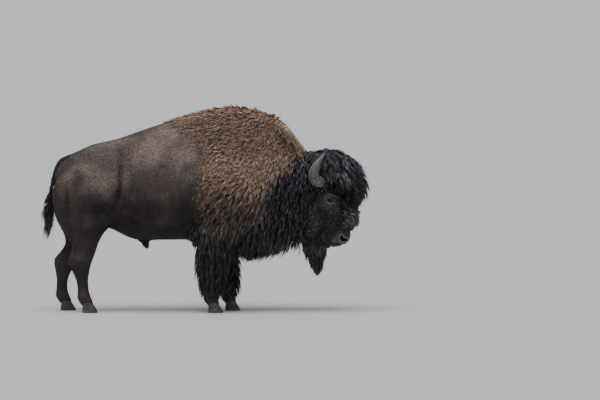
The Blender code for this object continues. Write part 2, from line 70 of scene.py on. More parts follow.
# Sections of the body. Columns: along, top, middle, bottom, half width, crown, keel, and
# the depth of the coat at the top, side and bottom. crown and keel are the shape of the
# upper and lower half: 1 is an ellipse, more is narrower.
TRUNK = np.array(
    (
        (-1.245, 1.255, 1.16, 1.04, 0.090, 0.90, 1.0, 0.012, 0.012, 0.010),
        (-1.17, 1.355, 1.12, 0.93, 0.170, 0.85, 1.0, 0.012, 0.012, 0.010),
        (-1.08, 1.400, 1.08, 0.86, 0.215, 0.85, 1.0, 0.012, 0.012, 0.010),
        (-0.977, 1.448, 1.06, 0.80, 0.240, 0.88, 1.0, 0.012, 0.012, 0.010),
        (-0.803, 1.485, 1.06, 0.715, 0.248, 0.95, 0.95, 0.014, 0.012, 0.010),
        (-0.69, 1.520, 1.04, 0.662, 0.258, 1.00, 0.95, 0.015, 0.012, 0.010),
        (-0.57, 1.563, 1.02, 0.628, 0.292, 1.05, 0.95, 0.018, 0.014, 0.010),
        (-0.376, 1.625, 1.00, 0.632, 0.338, 1.18, 0.95, 0.026, 0.018, 0.012),
        (-0.181, 1.684, 0.98, 0.634, 0.352, 1.35, 1.0, 0.038, 0.030, 0.016),
        (0.0, 1.732, 0.98, 0.625, 0.345, 1.50, 1.05, 0.042, 0.045, 0.030),
        (0.20, 1.760, 0.98, 0.610, 0.338, 1.60, 1.1, 0.044, 0.050, 0.070),
        (0.402, 1.742, 0.98, 0.600, 0.318, 1.60, 1.1, 0.044, 0.052, 0.145),
        (0.576, 1.696, 1.00, 0.650, 0.268, 1.50, 1.0, 0.044, 0.060, 0.132),
        (0.692, 1.606, 1.02, 0.710, 0.225, 1.35, 1.0, 0.046, 0.070, 0.160),
        (0.790, 1.470, 1.03, 0.770, 0.195, 1.10, 1.0, 0.055, 0.080, 0.190),
        (0.870, 1.345, 1.05, 0.820, 0.180, 1.00, 1.0, 0.060, 0.080, 0.215),
        (0.950, 1.240, 1.06, 0.880, 0.150, 1.00, 1.0, 0.060, 0.070, 0.200),
    )
)
HEAD = np.array(
    (
        (0.045, 0.035, -0.05, -0.12, 0.085, 1.0, 1.0, 0.060, 0.060, 0.030),
        (0.10, 0.085, -0.05, -0.17, 0.130, 0.85, 1.0, 0.050, 0.060, 0.035),
        (0.19, 0.130, -0.03, -0.215, 0.155, 0.75, 1.0, 0.040, 0.045, 0.045),
        (0.28, 0.138, -0.03, -0.228, 0.160, 0.72, 1.0, 0.035, 0.028, 0.050),
        (0.348, 0.128, -0.03, -0.225, 0.154, 0.72, 1.0, 0.032, 0.010, 0.055),
        (0.43, 0.108, -0.03, -0.205, 0.124, 0.75, 1.0, 0.030, 0.026, 0.055),
        (0.52, 0.094, -0.03, -0.165, 0.094, 0.80, 0.95, 0.026, 0.028, 0.045),
        (0.59, 0.090, -0.02, -0.132, 0.080, 0.80, 0.9, 0.016, 0.012, 0.020),
        (0.65, 0.092, -0.01, -0.116, 0.077, 0.75, 0.85, 0.003, 0.004, 0.008),
        (0.70, 0.080, -0.01, -0.108, 0.074, 0.75, 0.85, 0.002, 0.002, 0.003),
        (0.735, 0.050, -0.02, -0.098, 0.060, 0.80, 0.85, 0.002, 0.002, 0.002),
        (0.748, 0.015, -0.03, -0.085, 0.035, 0.90, 0.9, 0.002, 0.002, 0.002),
    )
)
BONNET = np.array(
    (
        (-0.100, 0.020, -0.03, -0.10, 0.085, 1.0, 1.0, 0.04, 0.04, 0.03),
        (-0.070, 0.130, 0.02, -0.14, 0.165, 0.9, 1.0, 0.05, 0.05, 0.03),
        (0.00, 0.242, 0.05, -0.15, 0.205, 0.8, 1.0, 0.06, 0.06, 0.03),
        (0.10, 0.306, 0.07, -0.12, 0.215, 0.8, 1.0, 0.07, 0.07, 0.03),
        (0.20, 0.336, 0.08, -0.06, 0.210, 0.8, 1.0, 0.075, 0.07, 0.03),
        (0.29, 0.330, 0.08, 0.00, 0.196, 0.85, 1.0, 0.075, 0.07, 0.03),
        (0.38, 0.285, 0.07, 0.02, 0.168, 0.9, 1.0, 0.065, 0.06, 0.03),
        (0.455, 0.218, 0.06, 0.02, 0.130, 0.9, 1.0, 0.045, 0.04, 0.03),
        (0.53, 0.206, 0.05, 0.01, 0.104, 0.9, 1.0, 0.045, 0.035, 0.03),
        (0.588, 0.178, 0.05, 0.01, 0.086, 0.9, 1.0, 0.045, 0.035, 0.03),
        (0.618, 0.120, 0.05, 0.03, 0.060, 1.0, 1.0, 0.04, 0.03, 0.02),
    )
)
BEARD = np.array(
    (
        (0.353, 0.985, 0.965, 0.945, 0.012, 1.0, 1.0, 0.02, 0.015, 0.02),
        (0.39, 1.012, 0.965, 0.925, 0.030, 1.0, 1.0, 0.04, 0.028, 0.035),
        (0.46, 1.032, 0.960, 0.888, 0.050, 1.0, 1.0, 0.045, 0.035, 0.045),
        (0.55, 1.055, 0.955, 0.852, 0.070, 1.0, 1.0, 0.045, 0.035, 0.045),
        (0.63, 1.078, 0.965, 0.850, 0.078, 1.0, 1.0, 0.04, 0.035, 0.045),
        (0.70, 1.080, 0.975, 0.870, 0.070, 1.0, 1.0, 0.03, 0.03, 0.03),
        (0.74, 1.060, 0.980, 0.900, 0.050, 1.0, 1.0, 0.02, 0.02, 0.02),
    )
)
HIND_LEG = np.array(
    (
        (0.055, -0.965, -1.015, -1.062, 0.040, 0.9, 0.9, 0.004, 0.004, 0.004),
        (0.085, -0.968, -1.022, -1.078, 0.043, 0.9, 0.9, 0.005, 0.005, 0.005),
        (0.13, -0.988, -1.040, -1.104, 0.047, 0.9, 0.9, 0.005, 0.005, 0.006),
        (0.18, -1.004, -1.050, -1.098, 0.037, 0.9, 0.9, 0.005, 0.005, 0.005),
        (0.28, -1.012, -1.060, -1.112, 0.037, 0.9, 0.9, 0.005, 0.005, 0.005),
        (0.36, -1.000, -1.070, -1.148, 0.045, 0.9, 0.9, 0.005, 0.005, 0.005),
        (0.42, -0.988, -1.075, -1.180, 0.050, 0.9, 1.2, 0.005, 0.005, 0.005),
        (0.465, -0.970, -1.070, -1.188, 0.052, 0.9, 1.4, 0.005, 0.005, 0.005),
        (0.52, -0.950, -1.045, -1.162, 0.058, 0.9, 1.5, 0.005, 0.005, 0.005),
        (0.59, -0.928, -1.020, -1.150, 0.072, 0.9, 1.3, 0.006, 0.006, 0.006),
        (0.66, -0.895, -1.020, -1.185, 0.092, 0.9, 1.1, 0.008, 0.008, 0.008),
        (0.74, -0.835, -1.020, -1.245, 0.112, 0.9, 1.0, 0.010, 0.010, 0.010),
        (0.84, -0.740, -1.015, -1.288, 0.128, 0.9, 0.9, 0.012, 0.012, 0.012),
        (0.95, -0.705, -1.000, -1.308, 0.136, 0.9, 0.85, 0.012, 0.012, 0.012),
        (1.07, -0.710, -0.990, -1.306, 0.132, 0.9, 0.85, 0.012, 0.012, 0.012),
        (1.19, -0.755, -0.980, -1.250, 0.104, 1.0, 0.9, 0.012, 0.012, 0.012),
        (1.30, -0.860, -0.980, -1.120, 0.040, 1.0, 1.0, 0.012, 0.012, 0.012),
    )
)
FORE_LEG = np.array(
    (
        (0.055, 0.118, 0.075, 0.025, 0.040, 0.9, 0.9, 0.004, 0.004, 0.004),
        (0.085, 0.120, 0.070, 0.012, 0.043, 0.9, 0.9, 0.005, 0.005, 0.005),
        (0.125, 0.112, 0.060, 0.000, 0.048, 0.9, 0.9, 0.005, 0.005, 0.006),
        (0.158, 0.104, 0.060, 0.014, 0.040, 0.9, 0.9, 0.012, 0.012, 0.014),
        (0.20, 0.104, 0.060, 0.022, 0.038, 0.9, 0.9, 0.062, 0.045, 0.062),
        (0.28, 0.110, 0.062, 0.020, 0.041, 0.9, 0.9, 0.072, 0.056, 0.085),
        (0.36, 0.126, 0.068, 0.014, 0.052, 0.9, 0.9, 0.082, 0.060, 0.098),
        (0.42, 0.132, 0.070, 0.010, 0.056, 0.9, 0.9, 0.088, 0.062, 0.106),
        (0.52, 0.150, 0.070, -0.008, 0.064, 0.9, 0.9, 0.088, 0.062, 0.102),
        (0.64, 0.215, 0.085, -0.040, 0.086, 0.9, 0.9, 0.070, 0.054, 0.066),
        (0.75, 0.300, 0.110, -0.060, 0.105, 0.9, 0.9, 0.056, 0.046, 0.046),
        (0.90, 0.375, 0.160, -0.062, 0.120, 0.9, 0.9, 0.046, 0.044, 0.040),
        (1.08, 0.410, 0.190, -0.050, 0.116, 1.0, 1.0, 0.044, 0.044, 0.040),
        (1.28, 0.400, 0.220, 0.040, 0.080, 1.0, 1.0, 0.044, 0.044, 0.040),
    )
)
SHEATH = (
    ((-0.575, 0.0, 0.690), 0.050),
    ((-0.548, 0.0, 0.640), 0.036),
    ((-0.524, 0.0, 0.600), 0.027),
    ((-0.508, 0.0, 0.572), 0.017),
    ((-0.503, 0.0, 0.560), 0.004),
)
JAW = (
    ((0.800, 0.130, 1.060), 0.090),
    ((0.870, 0.120, 0.960), 0.090),
    ((0.915, 0.100, 0.850), 0.080),
    ((0.930, 0.070, 0.740), 0.070),
    ((0.925, 0.030, 0.670), 0.050),
)
FORE_TRACK, FORE_STRIDE, FORE_HIP = 0.205, 0.140, 0.75
HIND_TRACK, HIND_STRIDE, HIND_HIP = 0.165, -0.215, 0.92
FORE_SPLAY = np.array(((0.0, 0.83), (0.45, 0.92), (0.75, 1.0), (1.0, 0.98), (1.3, 0.82)))
HIND_SPLAY = np.array(((0.0, 1.06), (0.45, 1.04), (0.75, 1.0), (1.0, 0.96), (1.3, 0.80)))

# The head's frame: its origin is the poll, from which the face hangs this steeply
POLL = np.array((1.0, 0.0, 1.30))
PITCH = math.radians(75)
FACE = np.array((math.cos(PITCH), 0.0, -math.sin(PITCH)))
BROW = np.array((math.sin(PITCH), 0.0, math.cos(PITCH)))
CROWN = np.array((0.985, 0.0, 1.43))  # the bonnet's hair falls away from here on all sides

# The eye's place, down the face and out from it, and the ways along the eye and across it
EYE_PLACE = (0.348, -0.012)
EYE_LONG, EYE_TALL = np.array((0.50, 0.866)), np.array((-0.866, 0.50))
EYE_CENTRE = np.array(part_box("eye_right")[0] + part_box("eye_right")[1]) / 2
EYE_RADIUS = (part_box("eye_right")[1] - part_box("eye_right")[0]).x / 2

# Centre lines with radii, of the right horn, the tail and its tuft
HORN = (
    ((1.005, -0.100, 1.145), 0.048),
    ((0.988, -0.195, 1.133), 0.048),
    ((0.955, -0.283, 1.146), 0.047),
    ((0.937, -0.333, 1.200), 0.044),
    ((0.958, -0.338, 1.265), 0.035),
    ((0.993, -0.325, 1.322), 0.021),
    ((1.036, -0.300, 1.388), 0.003),
)
TAIL = (
    ((-1.110, 0.0, 1.335), 0.030),
    ((-1.180, 0.0, 1.345), 0.028),
    ((-1.262, 0.0, 1.300), 0.021),
    ((-1.318, 0.0, 1.190), 0.016),
    ((-1.342, 0.0, 1.060), 0.014),
    ((-1.352, 0.0, 0.930), 0.014),
    ((-1.350, 0.0, 0.820), 0.010),
)
CHIN = (((1.030, 0.0, 0.610), 0.030), ((1.075, 0.0, 0.594), 0.031), ((1.125, 0.0, 0.598), 0.028))
TAIL_HEAD = (
    ((-1.060, 0.0, 1.270), 0.100),
    ((-1.170, 0.0, 1.250), 0.088),
    ((-1.235, 0.0, 1.195), 0.068),
    ((-1.245, 0.0, 1.100), 0.056),
)
EAR = (
    ((0.985, -0.125, 1.044), 0.018),
    ((0.945, -0.195, 1.030), 0.031),
    ((0.918, -0.240, 1.012), 0.037),
    ((0.888, -0.282, 0.988), 0.028),
    ((0.864, -0.308, 0.967), 0.009),
)

# Where the markings change, by height: the cape's rear edge, and the black's edge
CAPE_EDGE = np.array(
    (
        (0.60, -0.05),
        (0.80, -0.065),
        (0.957, -0.084),
        (1.15, -0.045),
        (1.38, -0.026),
        (1.50, -0.065),
        (1.56, -0.20),
        (1.673, -0.365),
    )
)
BLACK_EDGE = np.array(
    (
        (0.55, 0.12),
        (0.64, 0.20),
        (0.72, 0.304),
        (0.88, 0.510),
        (1.05, 0.585),
        (1.11, 0.608),
        (1.226, 0.672),
        (1.40, 0.835),
        (1.50, 0.95),
    )
)

# Dents and swellings of the skin: place, size each way, and how far it is pushed out.
# Each is on both sides, and those under HIND_HIP follow the leg's stride.
FORMS = (
    ((-0.670, 0.27, 0.80), (0.050, 0.12, 0.030), -0.016),
    ((-0.830, 0.27, 1.10), (0.060, 0.14, 0.110), 0.016),
    ((-0.690, 0.25, 0.865), (0.050, 0.12, 0.030), 0.008),
    ((-0.920, 0.30, 1.10), (0.100, 0.14, 0.12), 0.026),
    ((-0.900, 0.24, 1.36), (0.090, 0.10, 0.050), 0.012),
    ((-1.100, 0.22, 1.15), (0.060, 0.12, 0.10), -0.026),
    ((-1.120, 0.18, 1.33), (0.040, 0.10, 0.030), 0.008),
    ((-1.190, 0.24, 0.96), (0.030, 0.12, 0.16), -0.012),
    ((-1.060, 0.26, 0.84), (0.040, 0.12, 0.10), -0.012),
    ((-0.890, 0.25, 0.87), (0.080, 0.12, 0.06), -0.020),
    ((-1.090, 0.22, 0.465), (0.030, 0.03, 0.030), 0.008),
    ((-0.560, 0.30, 1.40), (0.120, 0.12, 0.05), -0.010),
    ((-0.320, 0.35, 1.00), (0.220, 0.12, 0.20), 0.012),
    ((-0.620, 0.24, 0.74), (0.090, 0.12, 0.05), -0.010),
    ((0.430, 0.34, 0.86), (0.028, 0.14, 0.15), -0.030),
    ((0.600, 0.30, 0.92), (0.022, 0.14, 0.12), -0.016),
)
# Painted shade and painted highlights on the short coat, with a few patches of plain tone: the lit rump
# top, loin and thigh bulge, shade under the thigh, beside the tail head, behind the elbow and along the
# belly. (along, height), size each way, how much darker
SHADES = (
    ((-0.420, 0.94), (0.13, 0.07), 0.22),
    ((-0.330, 0.79), (0.16, 0.05), -0.12),
    ((-0.350, 0.66), (0.22, 0.04), 0.60),
    ((-0.400, 1.26), (0.20, 0.09), 0.12),
    ((-1.070, 1.00), (0.12, 0.08), 0.11),
    ((-1.000, 0.78), (0.12, 0.08), -0.08),
    ((-0.160, 0.90), (0.05, 0.16), 0.30),
    ((-0.900, 1.07), (0.085, 0.065), -0.16),
    ((-0.860, 0.91), (0.10, 0.035), 0.22),
    ((-1.110, 1.12), (0.040, 0.10), 0.12),
    ((-1.020, 1.41), (0.11, 0.045), -0.12),
    ((-0.640, 1.45), (0.12, 0.06), -0.06),
    ((-0.300, 1.05), (0.10, 0.06), -0.06),
    ((-0.560, 1.02), (0.06, 0.10), -0.06),
)
# The bonnet's hair grows above this line: down the face, and out from it
FRINGE = (
    (-0.10, 0.06, 0.10, 0.14, 0.19, 0.26, 0.34, 0.42),
    (-0.30, -0.12, 0.02, 0.10, 0.14, 0.175, 0.205, 0.26),
)
# Creases of the skin, seen from the side: (along, height) down each, its half width, and depth
CREASES = (
    (((-0.774, 1.44), (-0.735, 1.36), (-0.728, 1.24), (-0.731, 1.10), (-0.745, 1.00)), 0.034, 0.018),
    (((-0.730, 1.26), (-0.731, 1.10), (-0.745, 0.98), (-0.785, 0.90), (-0.83, 0.84)), 0.019, 0.011),
    (((-0.69, 1.38), (-0.66, 1.22), (-0.66, 1.05), (-0.69, 0.93)), 0.055, 0.010),
    (((-1.150, 0.66), (-1.128, 0.58), (-1.132, 0.50)), 0.012, 0.018),
    (((-1.02, 0.66), (-1.00, 0.56), (-1.02, 0.47)), 0.012, 0.006),
    (((-1.035, 0.36), (-1.030, 0.20)), 0.009, 0.006),
    (((-0.125, 1.10), (-0.110, 0.90), (-0.100, 0.72)), 0.030, 0.012),
)


# --- Numbers -----------------------------------------------------------------------------


def step(low, high, at):
    """0 below low, 1 above high, smooth between. low may be more than high."""
    t = np.clip((at - low) / (high - low), 0.0, 1.0)
    return t * t * (3 - 2 * t)


def unit(vectors):
    return vectors / np.maximum(np.linalg.norm(vectors, axis=-1, keepdims=True), 1e-9)


def curve_through(table, at):
    """A smooth curve through (place, value) rows, read at many places."""
    x, y = table[:, 0], table[:, 1]
    slope = np.zeros(len(y))
    slope[1:-1] = (y[2:] - y[:-2]) / (x[2:] - x[:-2])
    slope[0], slope[-1] = (y[1] - y[0]) / (x[1] - x[0]), (y[-1] - y[-2]) / (x[-1] - x[-2])
    at = np.clip(at, x[0], x[-1])
    i = np.clip(np.searchsorted(x, at, side="right") - 1, 0, len(x) - 2)
    span, t = x[i + 1] - x[i], (at - x[i]) / (x[i + 1] - x[i])
    return (
        (2 * t**3 - 3 * t**2 + 1) * y[i]
        + (t**3 - 2 * t**2 + t) * span * slope[i]
        + (3 * t**2 - 2 * t**3) * y[i + 1]
        + (t**3 - t**2) * span * slope[i + 1]
    )


def wave(points, size, seed):
    """A slow random swell over space, about -1 to 1."""
    rng = np.random.default_rng(seed)
    total = np.zeros(len(points))
    for _ in range(5):
        way = unit(rng.normal(size=3)) * 2 * math.pi / (size * rng.uniform(0.7, 1.5))
        total += np.sin(points @ way + rng.uniform(0, 6.28))
    return total / 2.5


def head_place(points):
    """Down the face, and out from it, of points in the head's frame."""
    return (points - POLL) @ FACE, (points - POLL) @ BROW


def eye_place(flat):
    """Along the eye and across it, of places given down the face and out from it."""
    here = flat - np.array(EYE_PLACE)
    return here @ EYE_LONG, here @ EYE_TALL


def from_eye(down, out):
    """Distance from the eye's middle, seen from the side."""
    return np.hypot(down - EYE_PLACE[0], out - EYE_PLACE[1])


def ahead_of(edge, x, z):
    """How far ahead of an edge of the markings each place is."""
    return x - np.interp(z, edge[:, 0], edge[:, 1])


def near_line(points, line):
    """Distance to a broken line of (place, radius) rows, less its radius there."""
    best = np.full(len(points), 9.0)
    for (a, ra), (b, rb) in zip(line, line[1:]):
        a, b = np.array(a), np.array(b)
        t = np.clip((points - a) @ (b - a) / ((b - a) @ (b - a)), 0, 1)
        gap = np.linalg.norm(points - (a + t[:, None] * (b - a)), axis=1)
        best = np.minimum(best, gap - (ra + t * (rb - ra)))
    return best


# --- Making and joining meshes -----------------------------------------------------------


def deselect():
    bpy.ops.object.select_all(action="DESELECT")


def only(obj):
    """Selects one object and makes it active."""
    deselect()
    obj.select_set(True)
    bpy.context.view_layer.objects.active = obj
    return obj


def add(name, mesh):
    obj = bpy.data.objects.new(name, mesh)
    bpy.context.scene.collection.objects.link(obj)
    return obj


def mesh_from(name, places, faces):
    """A mesh from places and a list of face arrays, each with one number of corners."""
    mesh = bpy.data.meshes.new(name)
    mesh.vertices.add(len(places))
    mesh.vertices.foreach_set("co", np.ascontiguousarray(places, dtype=np.float32).ravel())
    corners = np.concatenate([f.ravel() for f in faces]).astype(np.int32)
    counts = np.concatenate([np.full(len(f), f.shape[1]) for f in faces])
    starts = np.concatenate(([0], np.cumsum(counts)[:-1])).astype(np.int32)
    mesh.loops.add(len(corners))
    mesh.loops.foreach_set("vertex_index", corners)
    mesh.polygons.add(len(starts))
    mesh.polygons.foreach_set("loop_start", starts)
    mesh.polygons.foreach_set("use_smooth", np.ones(len(starts), dtype=bool))
    mesh.update(calc_edges=True)
    return mesh


def places_of(mesh):
    flat = np.empty(len(mesh.vertices) * 3, dtype=np.float32)
    mesh.vertices.foreach_get("co", flat)
    return flat.reshape(-1, 3).astype(float)


def normals_of(mesh):
    flat = np.empty(len(mesh.vertices) * 3, dtype=np.float32)
    mesh.vertex_normals.foreach_get("vector", flat)
    return flat.reshape(-1, 3).astype(float)


def put_places(mesh, places):
    mesh.vertices.foreach_set("co", places.astype(np.float32).ravel())
    mesh.update()


def colour_layer(mesh, name, values):
    layer = mesh.attributes.get(name) or mesh.attributes.new(name, "FLOAT_COLOR", "POINT")
    layer.data.foreach_set("color", values.astype(np.float32).ravel())


def apply_modifier(obj, kind, **settings):
    only(obj)
    modifier = obj.modifiers.new(kind.title(), kind)
    for name, value in settings.items():
        setattr(modifier, name, value)
    bpy.ops.object.modifier_apply(modifier=modifier.name)


def point_outwards(obj, merge=0.0):
    """Turns a closed mesh's faces outwards, once its corners within merge are joined."""
    only(obj)
    bpy.ops.object.mode_set(mode="EDIT")
    bpy.ops.mesh.select_all(action="SELECT")
    if merge > 0:
        bpy.ops.mesh.remove_doubles(threshold=merge)
    bpy.ops.mesh.normals_make_consistent(inside=False)
    bpy.ops.object.mode_set(mode="OBJECT")


def ring_faces(rings, sides):
    """Quads between rings of corners laid one after the other, and the two end caps."""
    i = np.arange(rings - 1)[:, None] * sides
    k = np.arange(sides)[None, :]
    j = (k + 1) % sides
    quads = np.stack((i + k, i + j, i + sides + j, i + sides + k), axis=-1).reshape(-1, 4)
    ends = np.stack((np.arange(sides)[::-1], (rings - 1) * sides + np.arange(sides)))
    return [quads, ends]


def loft(name, rows, origin, along, up, share, shift=None, sides=40, gap=0.02):
    """A closed tube through sections. share is how much of the coat's depth it has."""
    at = np.arange(rows[0, 0], rows[-1, 0] + gap / 2, gap)
    top, middle, bottom, half, crown, keel, over, beside, under = (
        curve_through(rows[:, (0, k)], at) for k in range(1, 10)
    )
    lift, across = shift(at) if shift else (0 * at, 0 * at)
    turn = np.linspace(0, 2 * math.pi, sides, endpoint=False)
    rise, reach = np.cos(turn)[None, :], np.sin(turn)[None, :]
    above = rise >= 0
    height = np.where(
        above, (top - middle + share * over)[:, None], (middle - bottom + share * under)[:, None]
    )
    bend = np.where(above, crown[:, None], keel[:, None])
    out = np.sign(reach) * np.abs(reach) ** bend * (half + share * beside)[:, None]
    places = (
        np.asarray(origin)
        + at[:, None, None] * along
        + (middle[:, None] + height * rise + lift[:, None])[..., None] * up
        + (out + across[:, None])[..., None] * np.array((0.0, 1.0, 0.0))
    )
    mesh = mesh_from(name, places.reshape(-1, 3), ring_faces(len(at), sides))
    return add(name, mesh)


def tube(name, centres, sides=24, gap=0.012):
    """A round tube along (place, radius) rows, square to its own line."""
    line = np.array([c for c, _ in centres])
    way = np.concatenate(([0], np.cumsum(np.linalg.norm(np.diff(line, axis=0), axis=1))))
    at = np.linspace(0, way[-1], max(4, int(way[-1] / gap)))
    path = np.stack([curve_through(np.column_stack((way, line[:, k])), at) for k in range(3)], 1)
    radius = curve_through(np.column_stack((way, [r for _, r in centres])), at)
    ahead = unit(np.gradient(path, axis=0))
    aside = np.array((0.0, 1.0, 0.0)) if abs(ahead[0, 1]) < 0.7 else np.array((1.0, 0.0, 0.0))
    first, second = [], []
    for direction in ahead:
        aside = unit(aside - direction * (aside @ direction))
        first.append(aside)
        second.append(np.cross(direction, aside))
    turn = np.linspace(0, 2 * math.pi, sides, endpoint=False)
    ring = np.cos(turn)[None, :, None] * np.array(first)[:, None]
    ring = ring + np.sin(turn)[None, :, None] * np.array(second)[:, None]
    places = path[:, None] + ring * np.maximum(radius, 0.0005)[:, None, None]
    return add(name, mesh_from(name, places.reshape(-1, 3), ring_faces(len(at), sides)))


def joined(name, objects):
    """The objects as one, under name."""
    deselect()
    for obj in objects:
        obj.select_set(True)
    bpy.context.view_layer.objects.active = objects[0]
    bpy.ops.object.join()
    objects[0].name = objects[0].data.name = name
    return objects[0]


# --- The skin ----------------------------------------------------------------------------


def leg_shift(side, track, splay, stride, hip):
    """How far a leg's sections stand ahead of the table and aside, by height."""

    def shift(height):
        ahead = stride * step(hip, 0.15, height) if side > 0 else 0 * height
        return ahead, side * track * curve_through(splay, height)

    return shift


def body_form(name, share, voxel):
    """Trunk, neck, head, legs, tail and the bulk of the long hair as one closed form."""
    x, z = np.array((1.0, 0, 0)), np.array((0, 0, 1.0))
    core = share - 1.0
    parts = [
        loft("trunk_form", TRUNK, (0, 0, 0), x, z, share),
        loft("head_form", HEAD, POLL, FACE, BROW, share),
        loft("bonnet_form", BONNET, POLL, FACE, BROW, core),
        loft("beard_form", BEARD, (0, 0, 0), z, x, -0.45 if share < 1 else 0.0),
        tube("sheath_form", SHEATH),
        tube("tail_form", TAIL),
        tube("tail_head_form", TAIL_HEAD),
        tube("chin_form", CHIN),
    ]
    for side in (-1, 1):
        fore = leg_shift(side, FORE_TRACK, FORE_SPLAY, FORE_STRIDE, FORE_HIP)
        hind = leg_shift(side, HIND_TRACK, HIND_SPLAY, HIND_STRIDE, HIND_HIP)
        parts.append(loft("fore_form", FORE_LEG, (0, 0, 0), z, x, share, fore))
        parts.append(loft("hind_form", HIND_LEG, (0, 0, 0), z, x, share, hind))
        parts.append(tube("jaw_form", [((a, b * side, c), r) for (a, b, c), r in JAW]))
    for part in parts:
        point_outwards(part)
    body = joined(name, parts)
    apply_modifier(body, "REMESH", mode="VOXEL", voxel_size=voxel)
    group = body.vertex_groups.new(name="flesh")
    places = places_of(body.data)
    soft = step(0.55, 0.80, places[:, 2]) * step(1.02, 0.90, places[:, 0]) * step(-1.27, -1.2, places[:, 0])
    soft *= step(0.02, 0.05, near_line(places, SHEATH))
    for i in np.flatnonzero(soft > 0.02):
        group.add([int(i)], float(soft[i]), "REPLACE")
    apply_modifier(body, "SMOOTH", factor=0.5, iterations=28, vertex_group="flesh")
    apply_modifier(body, "SMOOTH", factor=0.5, iterations=4)
    return body


def swells(places):
    """How far the dents and swellings of bone and muscle push the skin out."""
    amount = np.zeros(len(places))
    for centre, size, push in FORMS:
        for side in (-1, 1):
            c = np.array(centre) * (1, side, 1)
            if side > 0 and c[2] < HIND_HIP and c[0] < -0.7:
                c[0] += HIND_STRIDE * float(step(HIND_HIP, 0.15, c[2]))
            amount += push * np.exp(-(((places - c) / size) ** 2).sum(1))
    return amount


def shape_body(mesh):
    """Pushes the swellings, the creases and the ribs into the skin."""
    places, normals = places_of(mesh), normals_of(mesh)
    amount = swells(places)
    x, y, z = places.T
    for line, wide, deep in CREASES:
        rows = [((a, b), 0.0) for a, b in line]
        shifted = [((a + HIND_STRIDE * float(step(HIND_HIP, 0.15, b)), b), 0.0) for a, b in line]
        stride = shifted if line[0][0] < -0.95 else rows
        near = np.where(y > 0, near_line(places[:, ::2], stride), near_line(places[:, ::2], rows))
        amount -= deep * np.exp(-((near / wide) ** 2)) * step(0.05, 0.12, np.abs(y))
    ribs = step(-0.66, -0.5, x) * step(0.02, -0.12, x) * step(0.72, 0.85, z) * step(1.4, 1.2, z)
    swell = np.sin((x + 0.22 * (z - 1)) * 2 * math.pi / 0.095 + 1.2 * wave(places, 0.5, 21))
    amount += 0.0014 * ribs * swell * (0.6 + 0.5 * wave(places, 0.3, 22))
    put_places(mesh, places + normals * amount[:, None])


def refine(mesh, wanted):
    """Cuts each face in four where wanted, a test of face centres, says so."""
    bm = bmesh.new()
    bm.from_mesh(mesh)
    centres = np.array([f.calc_center_median() for f in bm.faces])
    chosen = [f for f, yes in zip(list(bm.faces), wanted(centres)) if yes]
    edges = list({e for f in chosen for e in f.edges})
    made = bmesh.ops.subdivide_edges(bm, edges=edges, cuts=1, use_grid_fill=True)
    corners = [g for g in made["geom_inner"] if isinstance(g, bmesh.types.BMVert)]
    corners += [v for f in chosen if f.is_valid for v in f.verts]
    corners = list(set(corners))
    bmesh.ops.smooth_vert(
        bm, verts=corners, factor=0.5, use_axis_x=True, use_axis_y=True, use_axis_z=True
    )
    bm.to_mesh(mesh)
    bm.free()
    mesh.update()


# Broken lines of the nostril and the mouth, down the face and out from it, with radii
NOSTRIL = (
    ((0.662, 0.015), 0.006),
    ((0.676, 0.004), 0.011),
    ((0.690, 0.004), 0.016),
    ((0.701, 0.015), 0.018),
    ((0.708, 0.030), 0.014),
    ((0.711, 0.044), 0.008),
)
MOUTH = (((0.680, -0.108), 0.0), ((0.710, -0.078), 0.0), ((0.729, -0.035), 0.0), ((0.748, 0.01), 0.0))
# Folds over the eye: where their arc's centre lies along it, half length, half height, half
# width, how far they stand out, and where along the eye they start and end
EYE_FOLDS = (
    (0.001, 0.030, 0.0200, 0.0040, -0.0070, -0.040, 0.045),
    (-0.006, 0.042, 0.0310, 0.0056, 0.0062, -0.060, 0.030),
    (0.004, 0.052, 0.0425, 0.0050, -0.0075, -0.020, 0.060),
    (0.006, 0.074, 0.0590, 0.0085, 0.0095, -0.075, 0.060),
    (0.030, 0.090, 0.0790, 0.0068, -0.0160, -0.010, 0.125),
    (0.034, 0.110, 0.0990, 0.0095, 0.0100, 0.015, 0.135),
)

def eye_folds(long, tall):
    """How far the folds of skin over the eye stand out, from places along and across it."""
    total = np.zeros(len(long))
    for ahead, half, rise, wide, deep, start, end in EYE_FOLDS:
        ring = np.hypot((long - ahead) / half, tall / rise)
        upper = step(-0.25, 0.30, tall / rise) * step(start, start + 0.03, long)
        upper = upper * step(end, end - 0.03, long)
        total += deep * upper * np.exp(-(((ring - 1) * rise / wide) ** 2))
    return total * (1 + 0.5 * wave(np.column_stack((long, tall, tall)), 0.03, 41))


